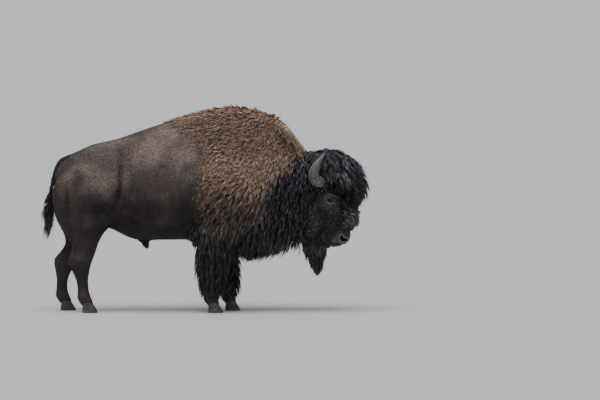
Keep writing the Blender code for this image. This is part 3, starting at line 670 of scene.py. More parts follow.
def orbit(flat):
    """How far the skin stands out sideways: the orbit with folds round its upper half, the
    lower lid, the tear line, the nose's crest and the cheek."""
    down, out = flat.T
    long, tall = eye_place(flat)
    aside = 0.014 * np.exp(-((np.hypot(long / 1.25, tall) / 0.044) ** 2))
    aside += eye_folds(long, tall)
    aside += 0.012 * np.exp(-(((long - 0.016) / 0.055) ** 2 + ((tall - 0.064) / 0.015) ** 2))
    aside -= 0.010 * np.exp(-(((long - 0.058) / 0.018) ** 2 + ((tall + 0.014) / 0.030) ** 2))
    lower = np.hypot(long / 0.027, tall / 0.018)
    aside += 0.0030 * step(0.1, -0.3, tall / 0.018) * np.exp(-(((lower - 1) * 0.018 / 0.004) ** 2))
    aside -= 0.0030 * step(0.1, -0.3, tall / 0.018) * np.exp(-(((lower - 1.5) * 0.018 / 0.004) ** 2))
    tear = near_line(np.column_stack((long, tall)), (((0.022, -0.003), 0.0), ((0.034, -0.030), 0.0)))
    aside -= 0.0060 * np.exp(-((tear / 0.0042) ** 2))
    crest = np.exp(-(((out + 0.035) / 0.018) ** 2)) * step(0.38, 0.45, down) * step(0.64, 0.56, down)
    aside += 0.005 * crest
    return aside + 0.009 * np.exp(-(((down - 0.33) / 0.07) ** 2 + ((out + 0.145) / 0.05) ** 2))


def lidded(height, flat, on_side):
    """Distances from the middle plane, once the lids lie on the ball with an almond open."""
    long, tall = eye_place(flat)
    far = np.linalg.norm(flat - np.array(EYE_PLACE), axis=1)
    droop = tall + 0.18 * long + 6.0 * long**2
    almond = np.hypot(long / 0.0196, droop / np.where(droop > 0, 0.0095, 0.0110))
    ball = np.sqrt(np.clip(EYE_RADIUS**2 - far**2, 0, None))
    thick = 0.0040 + 0.0015 * step(0.0, 0.004, droop)
    lid = abs(EYE_CENTRE[1]) + np.sqrt(np.clip((EYE_RADIUS + thick) ** 2 - far**2, 0, None))
    lid = np.where(far < EYE_RADIUS + 0.003, lid, 0)
    open_part = abs(EYE_CENTRE[1]) + ball - 0.007
    shut = step(0.92, 1.10, almond)
    near = step(EYE_RADIUS + 0.004, EYE_RADIUS - 0.003, far) * on_side
    target = open_part * (1 - shut) + np.maximum(lid, height) * shut
    return height + (target - height) * near


def nostrils(flat):
    """How far the nostrils, and the soft wing round them, push the skin out."""
    gap = near_line(flat, NOSTRIL)
    return -0.024 * step(0.003, -0.011, gap) + 0.0035 * np.exp(-(((gap - 0.006) / 0.005) ** 2))


def mouth(flat):
    """How far the line of the mouth, and the lips beside it, push the skin out."""
    gap = near_line(flat, MOUTH)
    return -0.0085 * np.exp(-((gap / 0.0042) ** 2)) + 0.0025 * np.exp(-(((gap - 0.010) / 0.006) ** 2))


def shape_face(mesh):
    """Shapes the eyes' surroundings and lids, the cheeks, the nostrils and the mouth."""
    places, normals = places_of(mesh), normals_of(mesh)
    down, out = head_place(places)
    flat = np.column_stack((down, out))
    side = np.sign(places[:, 1])
    face = step(0.15, 0.25, down) * step(0.70, 0.80, places[:, 0])
    on_side = face * step(0.06, 0.10, np.abs(places[:, 1]))
    places[:, 1] += side * orbit(flat) * on_side
    places[:, 1] = side * lidded(np.abs(places[:, 1]), flat, on_side)
    snout = step(0.60, 0.64, down) * step(0.7, 0.8, places[:, 0])
    off_middle = step(0.012, 0.028, np.abs(places[:, 1]))
    places += normals * (nostrils(flat) * snout * off_middle)[:, None]
    places += normals * (mouth(flat) * snout)[:, None]
    put_places(mesh, places)


def ear_form(name, side):
    """A cupped leaf, made solid and smoothed."""
    line = np.array([c for c, _ in EAR])
    half = np.array([h for _, h in EAR])
    at = np.linspace(0, 4, 22)
    spine = np.stack([curve_through(np.column_stack((np.arange(5), line[:, k])), at) for k in range(3)], 1)
    width = curve_through(np.column_stack((np.arange(5), half)), at)
    ahead = unit(np.gradient(spine, axis=0))
    across = unit(np.cross(np.cross(ahead, (0.35, -0.35, 1.0)), ahead))
    back = unit(np.cross(ahead, across))
    back *= np.where(back[:, :1] > 0, -1.0, 1.0)
    share = np.linspace(-1, 1, 15)[None, :, None]
    places = spine[:, None] + across[:, None] * width[:, None, None] * share
    places = places + back[:, None] * (0.014 * (1 - share**2) * width[:, None, None] / 0.037)
    places[..., 1] *= -side
    rows, columns = places.shape[:2]
    i, k = np.meshgrid(np.arange(rows - 1), np.arange(columns - 1), indexing="ij")
    corner = (i * columns + k).ravel()
    quads = np.column_stack((corner, corner + 1, corner + columns + 1, corner + columns))
    leaf = add(name, mesh_from(name, places.reshape(-1, 3), [quads]))
    apply_modifier(leaf, "SOLIDIFY", thickness=0.008, offset=0.0)
    apply_modifier(leaf, "SUBSURF", levels=1, render_levels=1)
    point_outwards(leaf)
    return leaf


# --- Markings, and the lie of the coat ---------------------------------------------------


def markings(points):
    """How much each point has of the cape's tan, the black, and the cream of the crest:
    three columns. The fourth darkens the brown and the tan, much of it painted shade and painted
    highlights, and greys the black."""
    x, y, z = points.T
    down = head_place(points)[0]
    edge = 0.03 * wave(points, 0.25, 3) + 0.012 * wave(points, 0.07, 4)
    cape = step(-0.05, 0.09, ahead_of(CAPE_EDGE, x, z) + edge)
    soft = np.interp(z, (0.8, 1.3), (0.14, 0.05))
    black = step(-soft, 0.05, ahead_of(BLACK_EDGE, x, z) + edge)
    black = np.maximum(black, step(0.82, 0.68, z + 0.6 * edge) * step(-0.16, -0.06, x))
    black = np.maximum(black, step(-0.10, -0.05, down) * step(0.86, 0.93, x))
    black = np.maximum(black, step(0.018, 0.008, near_line(points, TAIL)) * step(-1.12, -1.18, x))
    ridge = np.interp(x, TRUNK[:, 0], TRUNK[:, 1])
    # The cream before the hump is partly paler hair and partly a painted highlight along the crest; a faint
    # trace of it runs along the back.
    cream = step(0.060, 0.030, np.abs(y)) * step(0.065, 0.030, ridge - z)
    cream = cream * step(0.60, 0.72, x) * step(0.93, 0.89, x)
    faint = 0.13 * step(0.050, 0.020, ridge - z) * step(-0.2, 0.0, x) * step(0.72, 0.6, x)
    cream = np.maximum(cream, faint) * (1 - black)
    # Darker downwards: partly the coat's own darker underside, partly painted shade towards the belly; the
    # palest top of the back is a painted sheen.
    low = 0.95 * step(1.42, 0.84, z + 0.5 * edge) + 0.05 * step(0.80, 0.71, z)
    # Painted light on the forms: paler on the swellings, darker in the dents; a little paler low on the
    # legs.
    low -= 0.04 * step(0.74, 0.60, z) + 9.0 * swells(points)
    # Painted shade and painted highlights in patches, from the SHADES table.
    for (ahead, height), (long, tall), amount in SHADES:
        low += amount * np.exp(-(((x - ahead) / long) ** 2 + ((z - height) / tall) ** 2))
    # Painted shade along the two creases in front of the thigh.
    for line, wide, _ in CREASES[:2]:
        near = near_line(points[:, ::2], [((a, b), 0.0) for a, b in line])
        low += 0.20 * np.exp(-((near / (0.6 * wide)) ** 2))
    low = np.clip(low, 0, 1)
    high = 0.34 * step(1.30, 1.50, z) * step(0.02, 0.06, ridge - z) * step(-0.3, 0.0, x)
    front = 0.42 * np.exp(-(((ridge - z - 0.12) / 0.055) ** 2)) * step(0.56, 0.66, x) * step(0.90, 0.84, x)
    low = low * (1 - cape) + cape * (np.maximum(0.93 * step(1.28, 0.87, z + 0.8 * edge), high) + front)
    under = low * (1 - black) + head_grey(points) * black
    return np.column_stack((cape, black, cream, under))


def head_grey(points):
    """How grey the black hair is: 0 is the darkest, 0.38 the usual. On the head much of it is painted
    light: shade on the bonnet's lower front, under its fringe and above the muzzle, and a highlight round
    the eye.
    """
    down, out = head_place(points)
    head = step(-0.02, 0.06, down) * step(0.84, 0.92, points[:, 0]) * step(0.45, 0.56, points[:, 2])
    fringe = np.interp(down, *FRINGE)
    bonnet = step(-0.02, 0.02, out - fringe)
    # Painted shade: the bonnet darker towards its lower front.
    grey = bonnet * (0.38 - 0.20 * step(0.06, 0.26, down + 0.35 * (out - 0.15)))
    eye = from_eye(down, out)
    horn = np.hypot(down - 0.20, out + 0.02)
    # Painted shade under the fringe, darkest on the forehead.
    below = 0.20 - 0.14 * step(0.02, 0.07, out)
    # A painted highlight round the eye, and paler hair by the horn's base.
    below += 0.60 * step(0.11, 0.05, eye) + 0.5 * step(0.06, 0.02, horn)
    bridge = step(0.02, 0.07, out) * step(0.40, 0.46, down)
    # Paler hair on the bridge, turning to painted shadow just above the muzzle.
    below = below * (1 - bridge) + bridge * (0.74 - 0.70 * step(0.54, 0.60, down))
    below += 0.10 * step(0.0, -0.10, out)
    grey += (1 - bonnet) * below
    grey += 0.12 * wave(points, 0.12, 31)
    beard = step(0.60, 0.52, points[:, 2]) * step(0.80, 0.86, points[:, 0])
    nape = step(1.08, 1.22, points[:, 2]) * step(0.70, 0.80, points[:, 0]) * step(0.95, 0.87, points[:, 0])
    jaw = np.exp(-(((points[:, 0] - 0.80) / 0.08) ** 2 + ((points[:, 2] - 0.86) / 0.08) ** 2))
    neck = 0.38 + 0.35 * nape + 0.18 * jaw
    return np.clip((neck * (1 - head) + grey * head) * (1 - 0.6 * beard), 0, 1)


def bare_hide(places):
    """Masks of the skin: how bare it is, how dark with painted shade, and how pale with painted highlights
    at its rims.
    """
    down, out = head_place(places)
    flat = np.column_stack((down, out))
    far = np.linalg.norm(flat - np.array(EYE_PLACE), axis=1)
    on_side = np.abs(places[:, 1]) > 0.09
    snout = step(0.60, 0.645, down - 0.9 * np.maximum(0, -0.02 - out) - 0.25 * np.maximum(0, out))
    snout = snout * (places[:, 0] > 1.0)
    gap = near_line(flat, NOSTRIL)
    lids_bare = step(0.031, 0.022, far) * on_side
    bald = np.maximum(snout * (places[:, 2] > 0.5), lids_bare)
    # Painted shade: near black inside the nostrils and along the mouth.
    dark = step(0.001, -0.007, gap) * snout
    dark = np.maximum(dark, 0.85 * step(0.005, 0.002, near_line(flat, MOUTH)) * snout)
    # Painted highlights on the nostrils' rims and the soft wing beside them.
    rim = 0.52 * np.exp(-(((gap - 0.006) / 0.005) ** 2)) * snout
    side = np.exp(-(((gap - 0.016) / 0.012) ** 2)) * step(0.02, -0.01, out)
    rim = np.maximum(rim, 0.22 * side * snout)
    # A painted wrinkle above the nostril: a highlight on its ridge and shade in its crease.
    above = step(0.69, 0.67, down + 0.5 * out)
    rim = np.maximum(rim, 0.16 * np.exp(-(((gap - 0.031) / 0.006) ** 2)) * snout * above)
    dark = np.maximum(dark, 0.55 * np.exp(-(((gap - 0.020) / 0.004) ** 2)) * snout * above)
    # A paler patch on the lower lip.
    lower = np.exp(-(((down - 0.685) / 0.030) ** 2 + ((out + 0.075) / 0.025) ** 2))
    rim = np.maximum(rim, 0.40 * lower * snout)
    long, tall = eye_place(flat)
    near_eye = on_side * (places[:, 0] > 0.9)
    # A painted highlight along the lower lid, and a paler front corner of the eye.
    ring = np.hypot(long / 0.0245, (tall + 0.12 * long) / 0.0160)
    lower = np.exp(-(((ring - 1) * 0.016 / 0.0058) ** 2))
    rim = np.maximum(rim, step(0.002, -0.006, tall) * lower * near_eye)
    corner = np.exp(-(((long - 0.045) / 0.012) ** 2 + ((tall + 0.004) / 0.016) ** 2))
    rim = np.maximum(rim, 0.26 * corner * near_eye)
    fold = eye_folds(long, tall) / 0.007 * near_eye
    bald = np.maximum(bald, np.clip(1.3 * np.abs(fold) + corner * near_eye, 0, 1))
    tear = np.hypot(long - 0.036, tall + 0.036)
    bald = np.maximum(bald, step(0.022, 0.010, tear) * near_eye)
    # Painted highlights on the folds over the eye and painted shade in the creases between them; dark along
    # the tear line.
    rim = np.maximum(rim, 0.34 * np.clip(fold, 0, 1))
    dark = np.maximum(dark, np.clip(-1.2 * fold, 0, 1))
    dark = np.maximum(dark, 0.9 * step(0.013, 0.005, tear) * near_eye)
    return np.column_stack((bald, dark, rim, np.ones(len(places))))


def lie(points, normals):
    """The way the hair points at each place, along the skin."""
    x, y, z = points.T
    down, out = head_place(points)
    side = np.tanh(y / 0.04)

    def spread(weight, way):
        return weight[:, None] * np.array(way)

    cape = step(-0.15, 0.05, ahead_of(CAPE_EDGE, x, z))
    leg = step(0.82, 0.60, z) * step(0.75, 0.6, x)
    neck = step(0.30, 0.62, x)
    shoulder = cape * step(0.95, 1.30, z)
    way = spread(1 - cape, (-0.80, 0, -0.55)) + spread(shoulder, (-0.80, 0, -0.62))
    way += spread(cape - shoulder, (-0.50, 0, -0.88))
    way = way * (1 - neck)[:, None] + spread(neck, (-0.32, 0, -0.95))
    way = way * (1 - leg)[:, None] + spread(leg, (-0.10, 0, -1.0))
    head = step(-0.02, 0.10, down) * step(0.80, 0.95, x + 0.30 * (1.0 - z))
    cheek = FACE * 0.75 - BROW * 0.55
    way = way * (1 - head)[:, None] + head[:, None] * cheek
    nose = head * step(0.02, 0.07, out)
    way = way * (1 - nose)[:, None] + nose[:, None] * (FACE * 0.95 + BROW * 0.10)
    bonnet = step(0.10, 0.15, out) * step(-0.25, -0.15, down) * step(0.60, 0.50, down) * step(0.82, 0.9, x)
    bonnet = np.maximum(bonnet, step(0.04, -0.04, down) * step(0.84, 0.90, x))
    whorl = step(0.14, 0.05, np.hypot(x - CROWN[0], y))[:, None]
    swirl = (0.7 + wave(points, 0.07, 51), wave(points, 0.07, 52), np.full(len(points), 0.2))
    away = unit(points - CROWN) * (1 - whorl) + np.column_stack(swirl) * whorl
    way = way * (1 - bonnet)[:, None] + bonnet[:, None] * away
    way[:, 1] += side * 0.55 * step(0.55, 0.95, normals[:, 2]) * (1 - head)
    way[:, 1] += 0.22 * wave(points, 0.30, 8)
    way[:, 0] += 0.16 * wave(points, 0.22, 9)
    way[:, 2] += 0.10 * wave(points, 0.16, 10)
    beard = step(0.62, 0.57, z) * step(0.84, 0.88, x)
    way = way * (1 - beard)[:, None] + spread(beard, (-0.04, 0, -1.0))
    tail = step(0.035, 0.015, near_line(points, TAIL)) * step(-1.14, -1.18, x)
    way = way * (1 - tail)[:, None]
    way += spread(tail * step(1.29, 1.32, z), (-1.0, 0, -0.25))
    way += spread(tail * step(1.32, 1.29, z), (-0.22, 0, -1.0))
    flat = way - normals * (way * normals).sum(1)[:, None]
    return unit(flat)


class Surface:
    """A mesh read as triangles, with what the locks need to know at their roots."""

    def __init__(self, obj, outer):
        mesh = obj.data
        mesh.calc_loop_triangles()
        self.places, self.normals = places_of(mesh), normals_of(mesh)
        tris = np.empty(len(mesh.loop_triangles) * 3, dtype=np.int32)
        mesh.loop_triangles.foreach_get("vertices", tris)
        loops = np.empty(len(mesh.loop_triangles) * 3, dtype=np.int32)
        mesh.loop_triangles.foreach_get("loops", loops)
        flat = np.empty(len(mesh.loops) * 2, dtype=np.float32)
        mesh.uv_layers[MAP].uv.foreach_get("vector", flat)
        self.tris = tris.reshape(-1, 3)
        self.map = flat.reshape(-1, 2)[loops].reshape(-1, 3, 2)
        corners = self.places[self.tris]
        self.centres = corners.mean(1)
        crossed = np.cross(corners[:, 1] - corners[:, 0], corners[:, 2] - corners[:, 0])
        self.areas = np.linalg.norm(crossed, axis=1) / 2
        self.facing = unit(self.normals[self.tris].mean(1))
        self.tree = BVHTree.FromPolygons(self.places.tolist(), self.tris.tolist())
        shell = BVHTree.FromObject(outer, bpy.context.evaluated_depsgraph_get())
        depth = np.empty(len(self.places))
        for i, (place, normal) in enumerate(zip(self.places, self.normals)):
            hit = shell.ray_cast(Vector(place), Vector(normal), DEEPEST)
            nearest = shell.find_nearest(Vector(place))[3]
            depth[i] = min(hit[3] if hit[0] is not None else 1.0, 2.0 * nearest + 0.005)
        marks = markings(self.places)
        self.depth = np.where(marks[:, 0] + marks[:, 1] > 0.02, depth, SHORT_DEPTH)

    def roots(self, weight, count, rng):
        """count places spread over the surface by weight for each triangle."""
        share = np.cumsum(self.areas * weight)
        at = (np.arange(count) + rng.uniform(size=count)) / count * share[-1]
        i = np.minimum(np.searchsorted(share, at), len(share) - 1)
        r, s = np.sqrt(rng.uniform(size=count)), rng.uniform(size=count)
        mix = np.column_stack((1 - r, r * (1 - s), r * s))[:, :, None]
        tri = self.tris[i]
        return (
            (self.places[tri] * mix).sum(1),
            unit((self.normals[tri] * mix).sum(1)),
            (self.map[i] * mix).sum(1),
            (self.depth[tri] * mix[..., 0]).sum(1),
        )


def comb(surface, roots, normals, lengths, depths, lifts, sag, free, wander, steps):
    """Guides: lines that run from roots along the skin, and rise from it by lifts of the
    coat's depth. free is how far they leave the skin to run straight on."""
    path, up = [roots], [normals]
    here, facing, way = roots, normals, lie(roots, normals)
    hold = np.minimum(free, 1.0)[:, None]
    for k in range(steps):
        combed = lie(here, facing) + np.cross(facing, lie(here, facing)) * wander[:, None]
        way = unit(way * hold + combed * (1 - 0.75 * hold))
        ahead = here + way * (lengths / steps)[:, None]
        found = [surface.tree.find_nearest(Vector(p)) for p in ahead]
        loose = np.minimum(free * (k + 1) / steps, 1.0)[:, None]
        here = np.array([f[0] for f in found]) * (1 - loose) + ahead * loose
        facing = unit(np.array([f[1] for f in found]) + facing)
        path.append(here)
        up.append(facing)
    path, up = np.stack(path, 1), np.stack(up, 1)
    s = np.linspace(0, 1, steps + 1)[None, :, None]
    rise = 1 - (1 - s) ** 1.8
    line = path + up * rise * (depths * lifts)[:, None, None]
    line[..., 2] -= (sag[:, None] * s[..., 0] ** 2) * lengths[:, None]
    return line, up


def lock_faces(count, steps):
    """Faces of count locks: each is three-sided, with a closed root and a pointed tip."""
    tip = 3 * steps
    start = (np.arange(count) * (tip + 1))[:, None, None]
    r, k = np.meshgrid(np.arange(steps - 1) * 3, np.arange(3), indexing="ij")
    r, k = r.ravel(), k.ravel()
    j = (k + 1) % 3
    quads = np.column_stack((r + k, r + j, r + 3 + j, r + 3 + k))[None]
    last = tip - 3
    ends = ((last, last + 1, tip), (last + 1, last + 2, tip), (last + 2, last, tip), (2, 1, 0))
    faces = [(np.array(ends)[None] + start).reshape(-1, 3)]
    if steps > 1:
        faces.insert(0, (quads + start).reshape(-1, 4))
    return faces


def map_locks(mesh, spots, along):
    """Gives each lock a small patch of the map, at its root's spot on the skin's own map."""
    steps = len(along) // 3
    across = np.append(np.tile((0.0, 0.5, 1.0), steps), 0.5)
    bulge = np.append(np.tile((0.0, 0.12, 0.0), steps), 0.0)
    low, high = spots.min(0), spots.max(0)
    spots = 0.01 + 0.975 * (spots - low) / np.maximum(high - low, 1e-6)
    patch = np.column_stack((along + bulge, across))[None] * PATCH
    corner_map = (spots[:, None] + patch).reshape(-1, 2)
    corners = np.empty(len(mesh.loops), dtype=np.int32)
    mesh.loops.foreach_get("vertex_index", corners)
    layer = mesh.uv_layers.new(name=MAP)
    layer.uv.foreach_set("vector", corner_map[corners].astype(np.float32).ravel())


def locks(name, surface, weight, count, rng, look, clump=0.03, steps=3):
    """A piece of coat: count locks of hair over the surface where weight says.
    look gives length, width, lift, pull, sag, free, curl, jitter and flare as numbers or as
    functions of the roots' places. The locks of a clump, about clump wide, draw together,
    and flare makes some clumps stand out."""
    places, normals, spots, depths = surface.roots(weight, count, rng)

    def value(key, default=0.0):
        given = look.get(key, default)
        return given(places) if callable(given) else np.full(len(places), float(given))

    length, width, lift = value("length"), value("width"), value("lift", 0.9)
    sag, curl, pull, free = value("sag"), value("curl"), value("pull", 0.75), value("free")
    if clump > 0:
        area = (surface.areas * weight).sum()
        leaders = np.sort(rng.permutation(count)[: max(20, min(count, int(area / clump**2)))])
        grain = np.array(look.get("grain", (0.0, 0.0, 0.0)))
        near = places - (places @ grain)[:, None] * grain * 0.68
        finder = KDTree(len(leaders))
        for i, place in enumerate(near[leaders]):
            finder.insert(Vector(place), i)
        finder.balance()
        follow = np.array([finder.find(Vector(p))[1] for p in near])
    else:
        leaders = follow = np.arange(count)
    vary = rng.uniform(0.78, 1.12, len(leaders))
    line, up = comb(
        surface,
        places[leaders],
        normals[leaders],
        length[leaders] * vary,
        depths[leaders],
        lift[leaders] * rng.uniform(*look.get("rise", (0.75, 1.05)), len(leaders)),
        sag[leaders],
        free[leaders],
        rng.normal(0, look.get("wander", 0.12), len(leaders)),
        steps,
    )
    line, up = line[follow], up[follow]
    reach = rng.uniform(0.62, 1.08, count)
    s = np.linspace(0, 1, steps + 1)
    at = s[None, :] * reach[:, None] * steps
    i = np.minimum(at.astype(int), steps - 1)
    t = (at - i)[..., None]
    rows = np.arange(count)[:, None]
    centre = line[rows, i] * (1 - t) + line[rows, i + 1] * t
    facing = unit(up[rows, i] * (1 - t) + up[rows, i + 1] * t)
    apart = places - line[:, 0]
    close = (pull[:, None] * s[None, :] ** 0.7)[..., None]
    centre = centre + apart[:, None] * (1 - close)
    stand = (rng.uniform(size=len(leaders))[follow] ** 2.5 * value("flare") * length)[:, None]
    centre = centre + facing * (stand * s[None, :] ** 1.5)[..., None]
    ahead = unit(np.gradient(centre, axis=1))
    aside = unit(np.cross(facing, ahead))
    phase = rng.uniform(0, 6.28, len(leaders))[follow][:, None]
    swing = np.sin(phase + s[None, :] * 6.0) * s[None, :] * (curl * length)[:, None]
    jitter = rng.normal(0, 1, (count, 1)) * s[None, :] * (value("jitter", 0.06) * length)[:, None]
    centre = centre + aside * (swing + jitter)[..., None]
    ahead = unit(np.gradient(centre, axis=1))
    roll = rng.normal(0, 0.35, count)[:, None, None]
    aside = unit(np.cross(facing, ahead))
    ridge = unit(np.cross(ahead, aside))
    aside, ridge = aside * np.cos(roll) + ridge * np.sin(roll), ridge * np.cos(roll) - aside * np.sin(roll)
    wide = (width * rng.uniform(0.7, 1.3, count))[:, None]
    shape = np.interp(s, (0, 0.35, 0.75, 1.0), (0.75, 1.0, 0.7, 0.0))[None, :] * wide
    centre[:, 0] -= normals * 0.003
    left = centre[:, :-1] + (aside[:, :-1] * shape[:, :-1, None]) / 2
    right = centre[:, :-1] - (aside[:, :-1] * shape[:, :-1, None]) / 2
    top = centre[:, :-1] + ridge[:, :-1] * shape[:, :-1, None] * 0.38
    rings = np.stack((left, top, right), axis=2).reshape(count, -1, 3)
    points = np.concatenate((rings, centre[:, -1:]), axis=1)

    per = points.shape[1]
    along = np.append(np.repeat(s[:-1], 3), 1.0)
    mesh = mesh_from(name, points.reshape(-1, 3), lock_faces(count, steps))
    map_locks(mesh, spots, along)
    marks = np.repeat(markings(places), per, axis=0)
    pick = rng.uniform(size=count)
    group = rng.uniform(size=len(leaders))[follow]
    details = np.empty((count, per, 4))
    details[..., 0], details[..., 1] = along[None], pick[:, None]
    details[..., 2], details[..., 3] = group[:, None], 1.0
    colour_layer(mesh, "marks", marks)
    colour_layer(mesh, "strand", details.reshape(-1, 4))
    obj = add(name, mesh)
    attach(obj, "root")
    return obj


# --- Materials ---------------------------------------------------------------------------


def nodes_in(tree, kind, **settings):
    """A new node with its inputs, or else its properties, set."""
    node = tree.nodes.new(kind)
    for key, value in settings.items():
        if key in node.inputs.keys():
            node.inputs[key].default_value = value
        else:
            setattr(node, key, value)
    return node


def mixed(tree, factor, first, second, blend="MIX"):
    """A colour mix. Each argument is a socket, a number or a colour."""
    node = tree.nodes.new("ShaderNodeMix")
    node.data_type = "RGBA"
    node.blend_type = blend
    for socket, given in ((node.inputs[0], factor), (node.inputs[6], first), (node.inputs[7], second)):
        if isinstance(given, bpy.types.NodeSocket):
            tree.links.new(given, socket)
        elif isinstance(given, (int, float)):
            socket.default_value = given if socket.type == "VALUE" else (given, given, given, 1)
        else:
            socket.default_value = (*tuple(given)[:3], 1.0)
    return node.outputs[2]


def times(tree, first, second):
    """One colour times another."""
    return mixed(tree, 1.0, first, second, "MULTIPLY")


def ranged(tree, value, low, high, to_low=0.0, to_high=1.0):
    """A value's smooth climb from to_low to to_high, between low and high."""
    node = tree.nodes.new("ShaderNodeMapRange")
    node.interpolation_type = "SMOOTHSTEP"
    for key, given in (("From Min", low), ("From Max", high), ("To Min", to_low), ("To Max", to_high)):
        node.inputs[key].default_value = given
    tree.links.new(value, node.inputs["Value"])
    return node.outputs["Result"]


def noise(tree, scale, detail=3.0, stretch=(1, 1, 1), turn=(0, 0, 0)):
    """A noise fixed to the piece."""
    place = nodes_in(tree, "ShaderNodeTexCoord")
    mapping = nodes_in(tree, "ShaderNodeMapping")
    mapping.inputs["Scale"].default_value = stretch
    mapping.inputs["Rotation"].default_value = turn
    grain = nodes_in(tree, "ShaderNodeTexNoise", Scale=scale, Detail=detail, Roughness=0.6)
    tree.links.new(place.outputs["Object"], mapping.inputs["Vector"])
    tree.links.new(mapping.outputs["Vector"], grain.inputs["Vector"])
    return grain.outputs["Fac"]


def raised(tree, shader, height, strength, distance):
    """Raises the surface by height."""
    ridge = nodes_in(tree, "ShaderNodeBump", Strength=strength, Distance=distance)
    tree.links.new(height, ridge.inputs["Height"])
    tree.links.new(ridge.outputs["Normal"], shader.inputs["Normal"])


def new_material(name):
    """A material, its node tree and its shader."""
    material = bpy.data.materials.new(name)
    material.use_nodes = True
    return material, material.node_tree, material.node_tree.nodes["Principled BSDF"]


def hair_group():
    """The colour of hair and skin from the markings, shared by every coat material. It adds painted shade
    at the roots and between the cape's lower locks, and painted highlights on black hair.
    """
    name = "hair colour"
    if name in bpy.data.node_groups:
        return bpy.data.node_groups[name]
    tree = bpy.data.node_groups.new(name, "ShaderNodeTree")
    for label, kind in (
        ("Marks", "NodeSocketColor"),
        ("Underneath", "NodeSocketFloat"),
        ("Strand", "NodeSocketColor"),
        ("Sleek", "NodeSocketColor"),
        ("Cape", "NodeSocketColor"),
        ("Black", "NodeSocketColor"),
        ("Cream", "NodeSocketColor"),
        ("Root Shade", "NodeSocketFloat"),
    ):
        tree.interface.new_socket(label, in_out="INPUT", socket_type=kind)
    tree.interface.new_socket("Color", in_out="OUTPUT", socket_type="NodeSocketColor")
    inside = tree.nodes.new("NodeGroupInput").outputs
    marks = nodes_in(tree, "ShaderNodeSeparateColor")
    strand = nodes_in(tree, "ShaderNodeSeparateColor")
    tree.links.new(inside["Marks"], marks.inputs[0])
    tree.links.new(inside["Strand"], strand.inputs[0])
    along, pick, group = strand.outputs

    patch = ranged(tree, noise(tree, 4.0, 4.0), 0.38, 0.64, 0.62, 1.30)
    sleek = times(tree, inside["Sleek"], patch)
    speck = ranged(tree, noise(tree, 95.0, 2.0), 0.60, 0.72, 1.0, 1.5)
    sleek = times(tree, sleek, speck)
    # Underneath darkens the short coat: its own darker underside together with painted shade and sheen, as
    # markings sets them.
    dark = times(tree, sleek, (0.14, 0.13, 0.14))
    sleek = mixed(tree, inside["Underneath"], sleek, dark)
    rust = mixed(tree, ranged(tree, noise(tree, 9.0, 4.0), 0.40, 0.70), 1.0, (1.15, 0.88, 0.74))
    cape = mixed(tree, 0.45, inside["Cape"], times(tree, inside["Cape"], rust))
    low = times(tree, cape, (0.21, 0.22, 0.25))
    cape = mixed(tree, inside["Underneath"], cape, low)
    # Low on the cape a share of the locks is made dark: painted shade in the gaps between locks.
    streak = ranged(tree, pick, 0.0, 1.0, 0.84, 1.16)
    streak = mixed(tree, inside["Underneath"], streak, ranged(tree, pick, 0.30, 0.60, 0.40, 1.20))
    cape = times(tree, cape, streak)
    colour = mixed(tree, marks.outputs[0], sleek, cape)
    colour = mixed(tree, marks.outputs[2], colour, inside["Cream"])
    # The black is greyed where Underneath says: on the head this is painted light, set in head_grey.
    grey = times(tree, inside["Black"], (2.1, 2.1, 2.2))
    dark = times(tree, inside["Black"], 0.42)
    dark = mixed(tree, inside["Underneath"], dark, grey)
    # Painted highlights: pale tips on a share of the black locks, more where the black is greyer.
    tips = times(tree, dark, (5.6, 5.7, 5.9))
    painted_tip_glint = ranged(tree, pick, 0.55, 1.0)
    painted_tip_glint = times(tree, painted_tip_glint, ranged(tree, along, 0.25, 0.8))
    painted_glint = ranged(tree, inside["Underneath"], 0.02, 0.35, 0.15, 1.0)
    painted_tip_glint = times(tree, painted_tip_glint, painted_glint)
    dark = mixed(tree, painted_tip_glint, dark, tips)
    colour = mixed(tree, marks.outputs[1], colour, dark)
    tint = ranged(tree, group, 0.0, 1.0, 0.72, 1.32)
    colour = times(tree, colour, tint)
    tint = ranged(tree, pick, 0.0, 1.0, 0.72, 1.30)
    colour = times(tree, colour, tint)
    shade = mixed(tree, inside["Root Shade"], (1, 1, 1), ranged(tree, along, 0.05, 1.0, 0.05, 1.62))
    colour = times(tree, colour, shade)
    tree.links.new(colour, tree.nodes.new("NodeGroupOutput").inputs["Color"])
    return tree


def hair_material(name, roughness, root_shade, bump=0.4, black=(1, 1, 1), cape=(1, 1, 1)):
    """A coat's material. black and cape tint those colours for one piece of the coat."""
    look = bpy.context.scene.bison_coat
    material, tree, shader = new_material(name)
    group = nodes_in(tree, "ShaderNodeGroup")
    group.node_tree = hair_group()
    marks = nodes_in(tree, "ShaderNodeAttribute", attribute_name="marks")
    strand = nodes_in(tree, "ShaderNodeAttribute", attribute_name="strand")
    tree.links.new(marks.outputs["Color"], group.inputs["Marks"])
    tree.links.new(marks.outputs["Alpha"], group.inputs["Underneath"])
    tree.links.new(strand.outputs["Color"], group.inputs["Strand"])
    for label, colour in (
        ("Sleek", look.sleek),
        ("Cape", [c * share for c, share in zip(look.cape, cape)]),
        ("Black", [c * share for c, share in zip(look.black, black)]),
        ("Cream", [c * share for c, share in zip(look.cream, cape)]),
    ):
        group.inputs[label].default_value = (*colour, 1.0)
    group.inputs["Root Shade"].default_value = root_shade
    tree.links.new(group.outputs["Color"], shader.inputs["Base Color"])
    shader.inputs["Roughness"].default_value = roughness
    shader.inputs["Specular IOR Level"].default_value = 0.35
    if bump > 0:
        raised(tree, shader, noise(tree, 260.0, 2.0), bump, 0.0015)
    return material


